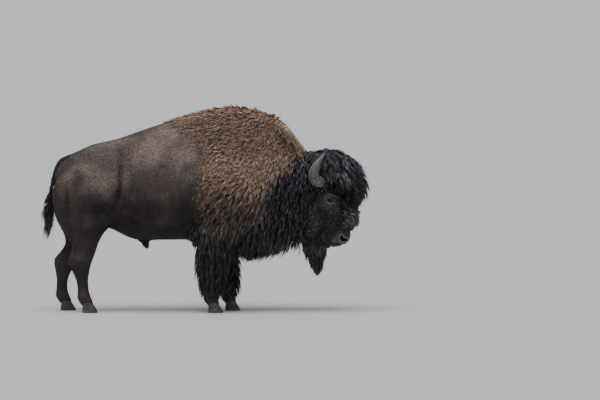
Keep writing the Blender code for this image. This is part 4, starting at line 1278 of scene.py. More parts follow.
def skin_material():
    """Short hair seen as skin, and bare grey skin on the muzzle and lids, with painted shade and painted
    highlights on the bare skin.
    """
    material = hair_material("skin", 0.70, 1.0, bump=0.0)
    tree = material.node_tree
    shader = tree.nodes["Principled BSDF"]
    bare = nodes_in(tree, "ShaderNodeAttribute", attribute_name="bare")
    mask = nodes_in(tree, "ShaderNodeSeparateColor")
    tree.links.new(bare.outputs["Color"], mask.inputs[0])
    bald, dark, rim = mask.outputs
    coat = shader.inputs["Base Color"].links[0].from_socket
    grey = bpy.context.scene.bison_coat.muzzle
    fleck = ranged(tree, noise(tree, 110.0, 4.0), 0.42, 0.62)
    hide = mixed(tree, fleck, [g * 0.5 for g in grey], [g * 1.7 for g in grey])
    # Painted highlights on the rims of nostrils and lower lid and on the folds over the eye, and a paler
    # patch on the lower lip.
    painted_glint = mixed(tree, fleck, [g * 9.0 for g in grey], [g * 15.0 for g in grey])
    hide = mixed(tree, rim, hide, painted_glint)
    # Near black as painted shade in the nostrils, along the mouth and in the creases; dark also along the
    # tear line.
    hide = mixed(tree, dark, hide, (0.004, 0.003, 0.003))
    tree.links.new(mixed(tree, bald, coat, hide), shader.inputs["Base Color"])
    rough = ranged(tree, bald, 0.0, 1.0, 0.72, 0.42)
    tree.links.new(rough, shader.inputs["Roughness"])
    cells = nodes_in(tree, "ShaderNodeTexVoronoi", Scale=260.0)
    place = nodes_in(tree, "ShaderNodeTexCoord")
    tree.links.new(place.outputs["Object"], cells.inputs["Vector"])
    fur = noise(tree, 120.0, 3.0, stretch=(0.25, 1.0, 0.45), turn=(0, 0.6, 0))
    height = mixed(tree, bald, fur, cells.outputs["Distance"])
    raised(tree, shader, height, 0.6, 0.003)
    return material


def horn_material():
    """Grey horn, mottled near the head, smooth further out, with a painted highlight along its outer side.
    """
    look = bpy.context.scene.bison_horn
    material, tree, shader = new_material("horn_sheath")
    height = nodes_in(tree, "ShaderNodeAttribute", attribute_name="strand")
    split = nodes_in(tree, "ShaderNodeSeparateColor")
    tree.links.new(height.outputs["Color"], split.inputs[0])
    along, outer, _ = split.outputs
    mottle = ranged(tree, noise(tree, 38.0, 6.0), 0.40, 0.62)
    speck = ranged(tree, noise(tree, 75.0, 3.0), 0.50, 0.66, 0.0, 0.85)
    fibre = noise(tree, 70.0, 5.0, stretch=(1.0, 1.0, 0.10))
    low = mixed(tree, mottle, look.base, [c * 0.42 for c in look.base])
    low = mixed(tree, speck, low, (0.034, 0.031, 0.025))
    shaft = mixed(tree, ranged(tree, fibre, 0.40, 0.62), [c * 0.45 for c in look.shaft], look.shaft)
    reach = mixed(tree, 0.30, along, noise(tree, 30.0, 3.0))
    colour = mixed(tree, ranged(tree, reach, 0.46, 0.58), low, shaft)
    # A painted highlight along the horn's outer side.
    pale = [c * 2.4 for c in look.shaft]
    colour = mixed(tree, ranged(tree, outer, 0.88, 0.95, 0.0, 0.9), colour, pale)
    tree.links.new(colour, shader.inputs["Base Color"])
    tree.links.new(ranged(tree, fibre, 0.3, 0.7, 0.38, 0.60), shader.inputs["Roughness"])
    raised(tree, shader, mixed(tree, 0.5, fibre, mottle), 0.7, 0.003)
    return material


def hoof_material():
    """Dark banded horn with dust on it."""
    look = bpy.context.scene.bison_hoof
    material, tree, shader = new_material("hoof_horn")
    bands = noise(tree, 40.0, 4.0, stretch=(0.3, 0.3, 3.0))
    dust = ranged(tree, noise(tree, 22.0), 0.45, 0.7, 0.0, 0.7)
    colour = mixed(tree, bands, [c * 0.6 for c in look.colour], look.colour)
    colour = mixed(tree, dust, colour, (0.13, 0.105, 0.08))
    tree.links.new(colour, shader.inputs["Base Color"])
    tree.links.new(ranged(tree, bands, 0.3, 0.7, 0.45, 0.68), shader.inputs["Roughness"])
    raised(tree, shader, bands, 0.5, 0.002)
    return material


def eye_material(side):
    """A dark brown eye with a level pupil, wet all over."""
    look = bpy.context.scene.bison_eye
    material, tree, shader = new_material("eye_" + ("left" if side > 0 else "right"))
    place = nodes_in(tree, "ShaderNodeTexCoord")
    centre = EYE_CENTRE * (1, -side, 1)
    mapping = nodes_in(tree, "ShaderNodeMapping", vector_type="POINT")
    mapping.inputs["Location"].default_value = -centre
    tree.links.new(place.outputs["Object"], mapping.inputs["Vector"])
    stretch = nodes_in(tree, "ShaderNodeMapping")
    stretch.inputs["Scale"].default_value = (1 / 0.0085, 0.0, 1 / 0.0045)
    tree.links.new(mapping.outputs["Vector"], stretch.inputs["Vector"])
    pupil = nodes_in(tree, "ShaderNodeVectorMath", operation="LENGTH")
    tree.links.new(stretch.outputs["Vector"], pupil.inputs[0])
    round_off = nodes_in(tree, "ShaderNodeMapping")
    round_off.inputs["Scale"].default_value = (1, 0, 1)
    tree.links.new(mapping.outputs["Vector"], round_off.inputs["Vector"])
    ring = nodes_in(tree, "ShaderNodeVectorMath", operation="LENGTH")
    tree.links.new(round_off.outputs["Vector"], ring.inputs[0])
    fleck = noise(tree, 700.0, 3.0)
    iris = mixed(tree, fleck, [c * 0.5 for c in look.iris], look.iris)
    colour = mixed(tree, ranged(tree, pupil.outputs["Value"], 0.9, 1.1), (0.002, 0.002, 0.002), iris)
    colour = mixed(tree, ranged(tree, ring.outputs["Value"], 0.0125, 0.0145), colour, (0.05, 0.035, 0.03))
    tree.links.new(colour, shader.inputs["Base Color"])
    shader.inputs["Roughness"].default_value = 0.06
    shader.inputs["Specular IOR Level"].default_value = 0.22
    return material


# --- What a user may change --------------------------------------------------------------


def colour_of(name, description, default):
    return bpy.props.FloatVectorProperty(
        name=name, description=description, subtype="COLOR", size=3, min=0, max=1, default=default
    )


class BisonSkinSettings(bpy.types.PropertyGroup):
    """How finely the skin is made."""

    voxel: bpy.props.FloatProperty(
        name="Grain", description="Size of the skin's faces", default=0.0134, min=0.006, unit="LENGTH"
    )
    core: bpy.props.FloatProperty(
        name="Undercoat",
        description="Share of the long hair's depth that is dense wool, part of the skin's form",
        default=0.38,
        min=0,
        max=1,
        subtype="FACTOR",
    )


class BisonCoatSettings(bpy.types.PropertyGroup):
    """The coat's colours and how thick it is."""

    fullness: bpy.props.FloatProperty(
        name="Fullness", description="Share of the full number of locks", default=1.0, min=0.05, max=1.2
    )
    # The sleek colour is what markings leave on top of the back, made pale there as a painted sheen.
    sleek: colour_of("Sleek Coat", "The short hair of flank and rump", (0.150, 0.111, 0.098))
    cape: colour_of("Cape", "The long hair of hump and shoulder", (0.322, 0.228, 0.170))
    black: colour_of("Black", "The hair of head, throat and forelegs", (0.0235, 0.0222, 0.0246))
    # The crest's colour stands partly for a painted highlight along the crest.
    cream: colour_of("Crest", "The bleached hair before the hump", (0.70, 0.545, 0.365))
    muzzle: colour_of("Muzzle", "The bare skin of nose and lips", (0.022, 0.020, 0.022))


class BisonHornSettings(bpy.types.PropertyGroup):
    """The horns' colours."""

    base: colour_of("Base", "The rough grey horn near the head", (0.232, 0.208, 0.174))
    shaft: colour_of("Shaft", "The smooth grey horn further out", (0.100, 0.092, 0.096))


class BisonHoofSettings(bpy.types.PropertyGroup):
    """The hooves' colour."""

    colour: colour_of("Horn", "The hoof's dark horn", (0.045, 0.038, 0.034))


class BisonEyeSettings(bpy.types.PropertyGroup):
    """The eyes' colour."""

    iris: colour_of("Iris", "The iris round the pupil", (0.020, 0.0115, 0.008))


class BisonStageSettings(bpy.types.PropertyGroup):
    """Floor, lights and camera."""

    floor: colour_of("Floor", "The plain pale floor", (0.50, 0.50, 0.495))
    backdrop: colour_of("Backdrop", "What is seen beyond the floor", (0.66, 0.68, 0.70))
    key: bpy.props.FloatProperty(
        name="Key Light", description="Strength of the soft light overhead", default=3.3, min=0
    )
    ambient: bpy.props.FloatProperty(
        name="Ambient", description="Strength of the light from all round", default=0.30, min=0
    )
    view_width: bpy.props.FloatProperty(
        name="View Width", description="Width of the view at the bull", default=5.217, unit="LENGTH"
    )
    distance: bpy.props.FloatProperty(
        name="Distance", description="From the bull to the camera", default=25.0, unit="LENGTH"
    )


# --- Operators ---------------------------------------------------------------------------


def rng_for(name):
    """A piece's own random draws, the same each run."""
    return np.random.default_rng(sum((i + 1) * ord(c) for i, c in enumerate(name)))


def surface_of():
    """The skin as a Surface, read once."""
    if not hasattr(surface_of, "found"):
        outer = body_form("outer_form", 1.0, OUTER_GRAIN)
        surface_of.found = Surface(bpy.data.objects[SKIN], outer)
        bpy.data.objects.remove(outer)
    return surface_of.found


def count_of(number):
    share = bpy.context.scene.bison_coat.fullness * 1.0
    return max(60, int(number * share))


def hair_piece(name, weight, number, look, material, clump=0.03, steps=3, nodes=()):
    """One piece of the coat, in its material and slot, in place of nodes."""
    obj = locks(name, surface_of(), weight, count_of(number), rng_for(name), look, clump, steps)
    obj.data.materials.append(material)
    if nodes:
        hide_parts(*nodes)
    return obj


def head_zones(centres, head):
    """Shares of the head's regions, by name, within head."""
    x, y, z = centres.T
    down, out = head_place(centres)
    horn = near_line(np.column_stack((x, -np.abs(y), z)), HORN)
    bonnet = head & (out > np.interp(down, *FRINGE)) & (down < 0.42)
    front = np.interp(down, (0.1, 0.2, 0.30, 0.35, 0.46, 0.61), (0.02, 0.05, 0.078, 0.085, 0.06, 0.035))
    long, tall = eye_place(np.column_stack((down, out)))
    oval = np.hypot((long - 0.014) / 0.090, (tall - 0.005) / np.where(tall > 0.005, 0.086, 0.042))
    lid_area = step(1.12, 0.90, oval)
    brow = head & ~bonnet & (out > front) & (down < 0.46) & (lid_area < 0.5)
    bridge = head & ~bonnet & ~brow & (out > front) & (down < 0.610)
    rest = head & ~bonnet & ~brow & ~bridge
    muzzle = rest & (down > 0.60 + 0.9 * np.maximum(0, -0.02 - out))
    far = from_eye(down, out)
    temple = rest & (down < 0.255) & (out > -0.09) & (lid_area < 0.5)
    rest &= ~temple
    face = rest & ~muzzle & ((far < 0.060) | (lid_area > 0.5) | ((down > 0.55) & (out > -0.09)))
    cheek = rest & ~muzzle & ~face
    return {
        "bonnet": bonnet * step(0.01, 0.05, horn),
        "brow": (brow | temple).astype(float),
        "bridge": bridge.astype(float),
        "muzzle": muzzle * step(0.05, 0.0, down - 0.62),
        "face": face * step(0.030, 0.062, far) * (1 - 0.85 * lid_area),
        "cheek": cheek.astype(float),
    }


def zones():
    """Shares of the coat's regions for each triangle of the skin, by name."""
    s = surface_of()
    x, y, z = s.centres.T
    side = np.abs(y)
    mark = markings(s.centres)
    left = (y > 0).astype(float)
    tail = (x < -1.10) & (near_line(s.centres, TAIL) < 0.012)
    ear = near_line(s.centres, EAR) < 0.02
    ear |= near_line(s.centres * (1, -1, 1), EAR) < 0.02
    ear &= side > 0.17
    beard = (z < 0.61) & (x > 0.815) & (x < 1.075)
    head = (x > 0.80 + 0.115 * z) & ~beard & ~ear
    breeches = (z < 0.74) & (z > 0.155) & (x > -0.12) & (x < 0.46) & (side > 0.05) & ~head
    breeches &= ((z < 0.62) | (side > 0.18)) & ((x > -0.03) | (z < 0.60))
    body = ~(head | tail | beard | ear | breeches)
    long_hair = np.clip(mark[:, 0] + mark[:, 1], 0, 1) * (z > 0.45)
    cape = body * mark[:, 0] * (1 - mark[:, 1])
    neck = body * mark[:, 1] * (x > -0.18) * (z > 0.30)
    short = body * (1 - long_hair) * (z > 0.10)
    return head_zones(s.centres, head) | {
        "tail": tail.astype(float),
        "ear": ear.astype(float),
        "beard": beard.astype(float),
        "breeches_left": breeches * left,
        "breeches_right": breeches * (1 - left),
        "crest": cape * (side < 0.05) * (z > 1.60) * (x > 0.05) * (x < 0.62),
        "sheath": (near_line(s.centres, SHEATH[1:]) < 0.015) * (side < 0.06) * 1.0,
        "fleece_left": cape * left * step(1.04, 1.20, z),
        "fleece_right": cape * (1 - left) * step(1.04, 1.20, z),
        "cape_left": cape * left * step(1.20, 1.04, z),
        "cape_right": cape * (1 - left) * step(1.20, 1.04, z),
        "neck": neck,
        "rump": short * (x < -0.70) * (z > 0.72),
        "flank": short * (x >= -0.70),
        "shanks": short * (x < -0.70) * (z <= 0.72) + (z < 0.17) * (z > 0.09) * (x > -0.3) * (x < 0.5),
    }


class BISON_OT_skin(bpy.types.Operator):
    """Makes the one skin that covers the body, from trunk to ears"""

    bl_idname = "bison.skin"
    bl_label = "Make Skin"

    def execute(self, context):
        look = context.scene.bison_skin
        skin = body_form(SKIN, look.core, look.voxel)
        mesh = skin.data
        shape_body(mesh)

        def face(centres):
            down, out = head_place(centres)
            return (down > 0.24) & (centres[:, 0] > 0.96) & (centres[:, 2] > 0.50) & (np.abs(out) < 0.13)

        def fine(centres):
            down, out = head_place(centres)
            eye = np.hypot(down - EYE_PLACE[0] + 0.02, out - EYE_PLACE[1] - 0.02) < 0.098
            nose = (down > 0.61) & (centres[:, 2] > 0.52) & (centres[:, 0] > 1.0)
            return nose | (eye & (np.abs(centres[:, 1]) > 0.08))

        def lids(centres):
            down, out = head_place(centres)
            aside = np.abs(centres[:, 1])
            eye = (from_eye(down, out) < 0.034) & (aside > 0.10)
            hole = near_line(np.column_stack((down, out)), NOSTRIL) < 0.008
            return eye | (hole & (down > 0.6) & (aside > 0.01))

        refine(mesh, face)
        refine(mesh, fine)
        refine(mesh, lids)
        shape_face(mesh)
        skin = joined(SKIN, [skin, ear_form("ear_a", -1), ear_form("ear_b", 1)])
        mesh = skin.data
        only(skin)
        bpy.ops.object.mode_set(mode="EDIT")
        bpy.ops.mesh.select_all(action="SELECT")
        bpy.ops.uv.smart_project(angle_limit=math.radians(66), island_margin=0.002)
        bpy.ops.object.mode_set(mode="OBJECT")
        mesh.uv_layers.active.name = MAP
        places = places_of(mesh)
        down, out = head_place(places)
        marks = markings(places)
        colour_layer(mesh, "marks", marks)
        # Under the long black hair, away from the face, the skin is darkened through Root Shade: painted
        # shade beneath the locks.
        face_side = step(0.05, 0.15, down) * step(0.85, 0.95, places[:, 0])
        face_side = face_side * step(0.02, -0.02, out - np.interp(down, *FRINGE))
        strand = np.tile((0.625, 0.5, 0.5, 1.0), (len(places), 1))
        strand[:, 0] -= 0.33 * marks[:, 1] * (1 - face_side) * step(0.16, 0.22, places[:, 2])
        colour_layer(mesh, "strand", strand)
        colour_layer(mesh, "bare", bare_hide(places))
        mesh.materials.clear()
        mesh.materials.append(skin_material())
        mesh.shade_smooth()
        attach(skin, "root")
        sides = ("left", "right")
        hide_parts("trunk", "neck", "head", "tail", *(f"ear_{s}" for s in sides))
        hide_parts(*(f"leg_{e}_{s}" for e in ("fore", "hind") for s in sides))
        return {"FINISHED"}


class BISON_OT_eyes(bpy.types.Operator):
    """Makes the eyeballs"""

    bl_idname = "bison.eyes"
    bl_label = "Make Eyes"

    def execute(self, context):
        for word, side in (("right", -1), ("left", 1)):
            deselect()
            low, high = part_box("eye_" + word)
            bpy.ops.mesh.primitive_uv_sphere_add(
                segments=48, ring_count=32, radius=EYE_RADIUS * 0.99, location=(low + high) / 2
            )
            ball = context.active_object
            ball.name = ball.data.name = f"eyeball_{word}"
            places = places_of(ball.data)
            cornea = np.exp(-((places[:, 0] ** 2 + places[:, 2] ** 2) / 0.010**2))
            places[:, 1] += side * 0.0012 * cornea * (np.sign(places[:, 1]) == side)
            put_places(ball.data, places)
            bpy.ops.object.transform_apply(location=True, rotation=True, scale=True)
            ball.data.shade_smooth()
            ball.data.materials.append(eye_material(side))
            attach(ball, "root")
            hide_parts("eye_" + word)
        return {"FINISHED"}


class BISON_OT_horns(bpy.types.Operator):
    """Makes the horns, ringed near the head and smooth at the tip"""

    bl_idname = "bison.horns"
    bl_label = "Make Horns"

    def execute(self, context):
        material = horn_material()
        sides = 48
        for word, side in (("right", -1), ("left", 1)):
            horn = tube(f"horn_sheath_{word}", HORN, sides, gap=0.004)
            mesh = horn.data
            places = places_of(mesh)
            rings = len(places) // sides
            along = np.repeat(np.linspace(0, 1, rings), sides)
            centre = places.reshape(rings, sides, 3).mean(1).repeat(sides, axis=0)
            swell = 1 + 0.022 * np.sin(along * 95 + 0.7 * wave(places, 0.05, 5)) * step(0.62, 0.25, along)
            swell += 0.02 * wave(places, 0.03, 6) * step(0.75, 0.2, along)
            places = centre + (places - centre) * (swell * 0.985)[:, None]
            places[:, 1] *= -side
            put_places(mesh, places)
            point_outwards(horn)
            # How far each point faces back and out: where the horn's painted highlight lies.
            tilt = np.interp(along, (0.3, 0.5, 1.0), (-0.5, 0.0, 0.55))
            rear = unit(np.column_stack((tilt * 0 - 0.9, tilt * 0, tilt)))
            outer = ((unit(places - centre * (1, -side, 1)) * rear).sum(1) + 1) / 2
            colour_layer(mesh, "strand", np.column_stack((along, outer, outer, np.ones(len(along)))))
            mesh.materials.append(material)
            mesh.shade_smooth()
            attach(horn, "root")
            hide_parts("horn_" + word)
        return {"FINISHED"}


class BISON_OT_hooves(bpy.types.Operator):
    """Makes the cloven hooves and the dewclaws, rounded and smoothed by wear"""

    bl_idname = "bison.hooves"
    bl_label = "Make Hooves"

    def execute(self, context):
        material = hoof_material()
        for node, solid in sorted(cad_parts.items()):
            if not node.startswith(("hoof_", "dewclaw_")):
                continue
            claw = add(node + "_horn", solid.data.copy())
            small = node.startswith("dewclaw_")
            grain = 0.0022 if small else 0.0035
            point_outwards(claw, merge=0.0001)
            apply_modifier(claw, "REMESH", mode="VOXEL", voxel_size=grain)
            apply_modifier(claw, "SMOOTH", factor=0.5, iterations=6)
            places = places_of(claw.data)
            low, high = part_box(node)
            if not small:
                height = (places[:, 2] - low.z) / (high.z - low.z)
                ring_gap = 0.009
                turns = places[:, 2] * 2 * math.pi / ring_gap + 1.5 * wave(places, 0.08, 61)
                rings = 0.0005 * np.sin(turns) * step(0.1, 0.4, height) + 0.0008 * wave(places, 0.03, 62)
                middle = (np.array(low) + np.array(high)) / 2
                out = unit((places - middle) * (1, 1, 0))
                places += out * rings[:, None]
                places[:, 2] = np.maximum(places[:, 2], low.z)
                sole = places[:, 2] < low.z + 0.004
                places[sole, 2] = low.z
            put_places(claw.data, places)
            claw.data.materials.clear()
            claw.data.materials.append(material)
            claw.data.shade_smooth()
            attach(claw, "root")
            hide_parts(node)
        return {"FINISHED"}


class BISON_OT_sleek_coat(bpy.types.Operator):
    """Lays the short flat hair over rump, flank, belly, shanks and face"""

    bl_idname = "bison.sleek_coat"
    bl_label = "Lay Short Coat"

    def execute(self, context):
        zone = zones()
        material = hair_material("short_hair", 0.50, 0.40)
        edge = np.clip(1 - np.abs(surface_of().facing[:, 1]), 0, 1)
        body = {"length": 0.030, "width": 0.0055, "lift": 0.75, "jitter": 0.10}
        hair_piece("coat_rump", zone["rump"] * (0.7 + edge), 20000, body, material, 0, 1)
        hair_piece("coat_flank", zone["flank"] * (0.7 + edge), 24000, body, material, 0, 1)
        shank = {"length": 0.020, "width": 0.0040, "lift": 0.45, "jitter": 0.10}
        hair_piece("coat_shanks", zone["shanks"], 10000, shank, material, 0, 1)
        dark = hair_material("face_hair", 0.50, 0.35, black=(1.5, 1.45, 1.4))

        def fine(points):
            down, out = head_place(points)
            far = from_eye(down, out)
            return 0.006 + 0.010 * step(0.04, 0.08, far)

        face = {"length": fine, "width": 0.0026, "lift": 0.7, "jitter": 0.18}
        weight = zone["face"] + 0.3 * zone["muzzle"]
        hair_piece("coat_face", weight, 12000, face, dark, 0, 1)
        return {"FINISHED"}


class BISON_OT_cape(bpy.types.Operator):
    """Hangs the long locks of the cape, the neck and the throat"""

    bl_idname = "bison.cape"
    bl_label = "Hang Cape"

    def execute(self, context):
        zone = zones()
        material = hair_material("cape_hair", 0.70, 0.75)

        def long(points):
            x, _, z = points.T
            behind = ahead_of(CAPE_EDGE, x, z)
            fringe = step(0.72, 0.58, z) * step(0.25, 0.45, x)
            full = 0.064 + 0.046 * step(1.30, 0.95, z) + 0.05 * fringe
            return 0.030 + (full - 0.030) * step(-0.02, 0.16, behind)

        look = {"length": long, "width": 0.0064, "lift": 1.0, "curl": 0.12, "jitter": 0.04, "flare": 0.15}
        look |= {"grain": (-0.64, 0.0, -0.77), "wander": 0.20, "rise": (0.5, 1.2)}
        fleece = look | {"width": 0.0056, "pull": 0.60, "curl": 0.16, "jitter": 0.06, "wander": 0.30}
        look["pull"] = lambda p: 0.70 + 0.20 * step(1.15, 0.90, p[:, 2])
        for side in ("left", "right"):
            name = f"fleece_{side}"
            hair_piece(name, zone[name], 7300, fleece, material, 0.014, 3)
            name = f"cape_{side}"
            hair_piece(name, zone[name], 4300, look, material, 0.024, 3)
        crest = {"length": 0.055, "width": 0.0055, "lift": 1.1, "pull": 0.8, "flare": 0.6, "wander": 0.5}
        tufts = hair_material("crest_hair", 0.70, 0.75, cape=(0.70, 0.58, 0.54))
        hair_piece("crest_hair", zone["crest"], 1500, crest, tufts, 0.022, 3)
        dark = hair_material("dark_hair", 0.66, 0.75, black=(0.84, 0.79, 0.80))

        def beside(points):
            """Where the mane lies beside the jaw."""
            x, _, z = points.T
            return step(0.70, 0.80, x) * step(0.66, 0.76, z) * step(1.14, 1.04, z)

        def mane(points):
            x, _, z = points.T
            throat = step(0.86, 0.66, z) * step(0.45, 0.62, x)
            elbow = 0.5 + 0.5 * step(-0.12, 0.08, x)
            return (0.085 + 0.05 * throat * step(0.90, 0.74, x)) * elbow * (1 - 0.42 * beside(points))

        look = {"length": mane, "width": 0.0060, "lift": 1.0, "curl": 0.08, "jitter": 0.04}
        look["pull"] = lambda p: 0.7 - 0.35 * beside(p)
        look |= {"grain": (-0.3, 0.0, -0.954), "wander": 0.20, "rise": (0.6, 1.2)}
        look["sag"] = lambda p: 0.10 + 0.30 * step(0.80, 0.62, p[:, 2])
        look["free"] = lambda p: 0.45 * step(0.82, 0.66, p[:, 2])
        look["flare"] = lambda p: 0.24 * step(0.60, 0.74, p[:, 2])
        hair_piece("mane", zone["neck"], 11000, look, dark, 0.022)
        return {"FINISHED"}


class BISON_OT_head_hair(bpy.types.Operator):
    """Sets the bonnet, the cheeks, the beard and the ears"""

    bl_idname = "bison.head_hair"
    bl_label = "Set Head Hair"

    def execute(self, context):
        zone = zones()
        material = hair_material("head_hair", 0.38, 0.80, black=(1.25, 1.25, 1.25))
        brown = hair_material("brow_hair", 0.45, 0.80, black=(1.22, 1.14, 1.00))

        def crowned(points):
            x, y, z = points.T
            horn = near_line(np.column_stack((x, -np.abs(y), z)), HORN)
            full = 0.100 + 0.035 * step(0.95, 1.12, x)
            full *= 1 - 0.5 * step(0.20, 0.40, head_place(points)[0])
            return full * (0.45 + 0.55 * step(0.03, 0.12, horn))

        bonnet = {
            "length": crowned,
            "width": 0.0054,
            "lift": lambda p: 1.2 - 0.55 * step(1.12, 1.26, p[:, 0]),
            "pull": lambda p: 0.66 - 0.4 * step(0.10, 0.04, np.hypot(p[:, 0] - CROWN[0], p[:, 1])),
            "sag": 0.10,
            "free": lambda p: 0.35 + 0.15 * step(1.10, 1.25, p[:, 0]),
            "curl": 0.12,
            "jitter": 0.06,
            "rise": (0.45, 1.5),
            "wander": 0.30,
            "flare": 0.40,
        }
        hair_piece(
            "bonnet_hair", zone["bonnet"], 12000, bonnet, material, 0.020, 3, ("forelock",)
        )
        brow = {"width": 0.0052, "lift": 0.9, "pull": 0.75, "curl": 0.10, "jitter": 0.06, "flare": 0.35}
        brow |= {"rise": (0.6, 1.5)}
        brow["length"] = lambda p: 0.022 + 0.020 * step(0.03, 0.10, head_place(p)[1])
        brow["free"] = lambda p: 0.35 * step(1.15, 1.28, p[:, 0])
        hair_piece("brow_hair", zone["brow"], 4500, brow, brown, 0.022, 3)
        bridge = {"length": 0.048, "width": 0.0052, "lift": 1.3, "pull": 0.7, "curl": 0.22}
        bridge |= {"jitter": 0.08, "free": 0.3, "flare": 0.5}
        hair_piece("bridge_hair", zone["bridge"], 3000, bridge, brown, 0.018, 3)

        def short(points):
            down, out = head_place(points)
            far = from_eye(down, out)
            return 0.011 + 0.027 * step(0.07, 0.18, far) * step(0.06, -0.12, out)

        cheek = {"length": short, "width": 0.0046, "lift": 0.95, "pull": 0.5, "curl": 0.20}
        cheek |= {"jitter": 0.10, "wander": 0.3, "flare": 0.25}
        hair_piece("cheek_hair", zone["cheek"], 12000, cheek, material, 0.013, 2)
        beard = {"width": 0.0060, "lift": 1.1, "pull": 0.6, "sag": 0.1, "curl": 0.08, "free": 0.8}
        beard |= {"rise": (0.4, 1.5), "wander": 0.18, "jitter": 0.08, "flare": 0.3}
        beard["length"] = lambda p: 0.078 - 0.045 * step(1.02, 1.05, p[:, 0]) * step(0.54, 0.57, p[:, 2])
        hair_piece("beard_hair", zone["beard"], 3600, beard, material, 0.026, 3, ("beard",))
        ear = {"length": 0.024, "width": 0.0035, "lift": 0.5, "pull": 0.4, "curl": 0.05}
        hair_piece("ear_hair", zone["ear"], 3000, ear, material, 0.010, 1)
        return {"FINISHED"}


class BISON_OT_leg_hair(bpy.types.Operator):
    """Hangs the breeches of the forelegs and the tail's tuft"""

    bl_idname = "bison.leg_hair"
    bl_label = "Hang Breeches"

    def execute(self, context):
        zone = zones()
        material = hair_material("breeches_hair", 0.70, 0.75, black=(0.50, 0.50, 0.50))
        look = {"width": 0.0080, "lift": 0.95, "pull": 0.7, "sag": 0.25, "curl": 0.08, "flare": 0.2}
        look["length"] = lambda p: 0.050 + 0.070 * step(0.15, 0.30, p[:, 2])
        for side in ("left", "right"):
            name = f"breeches_{side}"
            hair_piece(name, zone[name], 4200, look, material, 0.024)
        tuft = {"length": 0.052, "width": 0.0034, "lift": 0.8, "pull": 0.8, "free": 0.8, "curl": 0.05}
        hair_piece("sheath_tuft", zone["sheath"], 400, tuft, material, 0.012, 3)
        tail = {"width": 0.0048, "pull": 0.5, "jitter": 0.06, "curl": 0.05, "rise": (0.3, 1.2)}
        tail["lift"] = lambda p: 0.25 + 4.5 * step(1.13, 0.98, p[:, 2])
        tail["length"] = lambda p: 0.035 + 0.17 * step(1.15, 1.00, p[:, 2])
        tail["free"] = lambda p: 2.0 * step(1.15, 1.00, p[:, 2])
        weight = zone["tail"] * (1 + 2 * step(1.05, 0.9, surface_of().centres[:, 2]))
        hair_piece("tail_hair", weight, 3000, tail, material, 0.02, 3, ("tail_tuft",))
        return {"FINISHED"}


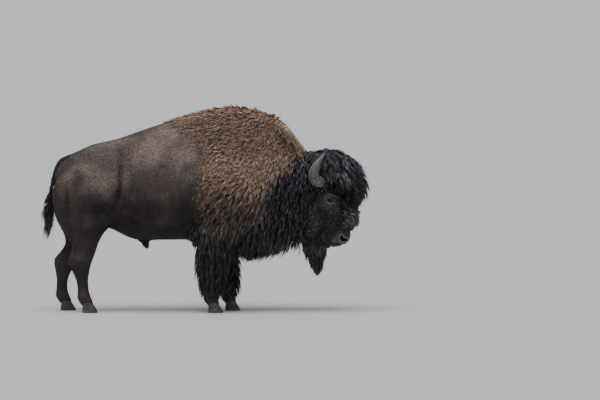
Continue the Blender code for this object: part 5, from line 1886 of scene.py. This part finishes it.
class BISON_OT_stage(bpy.types.Operator):
    """Sets the pale floor, the soft light and the camera"""

    bl_idname = "bison.stage"
    bl_label = "Set Stage"

    def execute(self, context):
        look = context.scene.bison_stage
        deselect()
        bpy.ops.mesh.primitive_plane_add(size=80, location=(0, 0, 0))
        floor = context.active_object
        floor.name = "floor"
        material, _, shader = new_material("floor")
        shader.inputs["Base Color"].default_value = (*look.floor, 1)
        shader.inputs["Roughness"].default_value = 0.9
        floor.data.materials.append(material)

        world = bpy.data.worlds.new("soft light")
        context.scene.world = world
        world.use_nodes = True
        tree = world.node_tree
        light = tree.nodes["Background"]
        light.inputs["Color"].default_value = (0.88, 0.93, 1.0, 1)
        light.inputs["Strength"].default_value = look.ambient
        backdrop = nodes_in(tree, "ShaderNodeBackground")
        backdrop.inputs["Color"].default_value = (*look.backdrop, 1)
        choose = nodes_in(tree, "ShaderNodeMixShader")
        seen = nodes_in(tree, "ShaderNodeLightPath").outputs["Is Camera Ray"]
        tree.links.new(seen, choose.inputs["Fac"])
        tree.links.new(light.outputs[0], choose.inputs[1])
        tree.links.new(backdrop.outputs[0], choose.inputs[2])
        tree.links.new(choose.outputs[0], tree.nodes["World Output"].inputs["Surface"])
        for name, place, angle, power in (
            ("overhead", (-0.12, -0.34, 1.0), 55, look.key),
            ("near side", (0.55, -1.0, 0.55), 60, look.key * 0.12),
            ("far side", (-0.3, 1.0, 0.60), 60, look.key * 0.12),
        ):
            bpy.ops.object.light_add(type="SUN", location=Vector(place) * 5)
            lamp = context.active_object
            lamp.name = name
            lamp.data.energy = power
            lamp.data.angle = math.radians(angle)
            lamp.rotation_euler = Vector(place).to_track_quat("Z", "Y").to_euler()

        sensor = 36.0
        aim = Vector((0.82, 0.0, 0.97))
        place = Vector((0.82, -look.distance, 1.6))
        bpy.ops.object.camera_add(location=place)
        camera = context.active_object
        camera.rotation_euler = (aim - place).to_track_quat("-Z", "Y").to_euler()
        camera.data.sensor_width = sensor
        camera.data.lens = sensor * (aim - place).length / look.view_width
        camera.data.clip_end = 200.0
        context.scene.camera = camera
        return {"FINISHED"}


class BISON_PT_panel(bpy.types.Panel):
    """Lists the bull's parts and what may be changed"""

    bl_label = "Bison Bull"
    bl_idname = "BISON_PT_panel"
    bl_space_type = "VIEW_3D"
    bl_region_type = "UI"
    bl_category = "Bison"

    def draw(self, context):
        for group in SETTINGS:
            box = self.layout.box()
            for name in SETTINGS[group].__annotations__:
                box.prop(getattr(context.scene, group), name)
        for operator in OPERATORS:
            self.layout.operator(operator.bl_idname)


SETTINGS = {
    "bison_skin": BisonSkinSettings,
    "bison_coat": BisonCoatSettings,
    "bison_horn": BisonHornSettings,
    "bison_hoof": BisonHoofSettings,
    "bison_eye": BisonEyeSettings,
    "bison_stage": BisonStageSettings,
}
OPERATORS = (
    BISON_OT_skin,
    BISON_OT_eyes,
    BISON_OT_horns,
    BISON_OT_hooves,
    BISON_OT_sleek_coat,
    BISON_OT_cape,
    BISON_OT_head_hair,
    BISON_OT_leg_hair,
    BISON_OT_stage,
)


def register():
    for name, group in SETTINGS.items():
        bpy.utils.register_class(group)
        setattr(bpy.types.Scene, name, bpy.props.PointerProperty(type=group))
    for operator in OPERATORS:
        bpy.utils.register_class(operator)
    bpy.utils.register_class(BISON_PT_panel)


def unregister():
    bpy.utils.unregister_class(BISON_PT_panel)
    for operator in reversed(OPERATORS):
        bpy.utils.unregister_class(operator)
    for name, group in SETTINGS.items():
        delattr(bpy.types.Scene, name)
        bpy.utils.unregister_class(group)


def main():
    register()
    for operator in OPERATORS:
        group, name = operator.bl_idname.split(".")
        getattr(getattr(bpy.ops, group), name)()


if __name__ == "__main__":
    main()
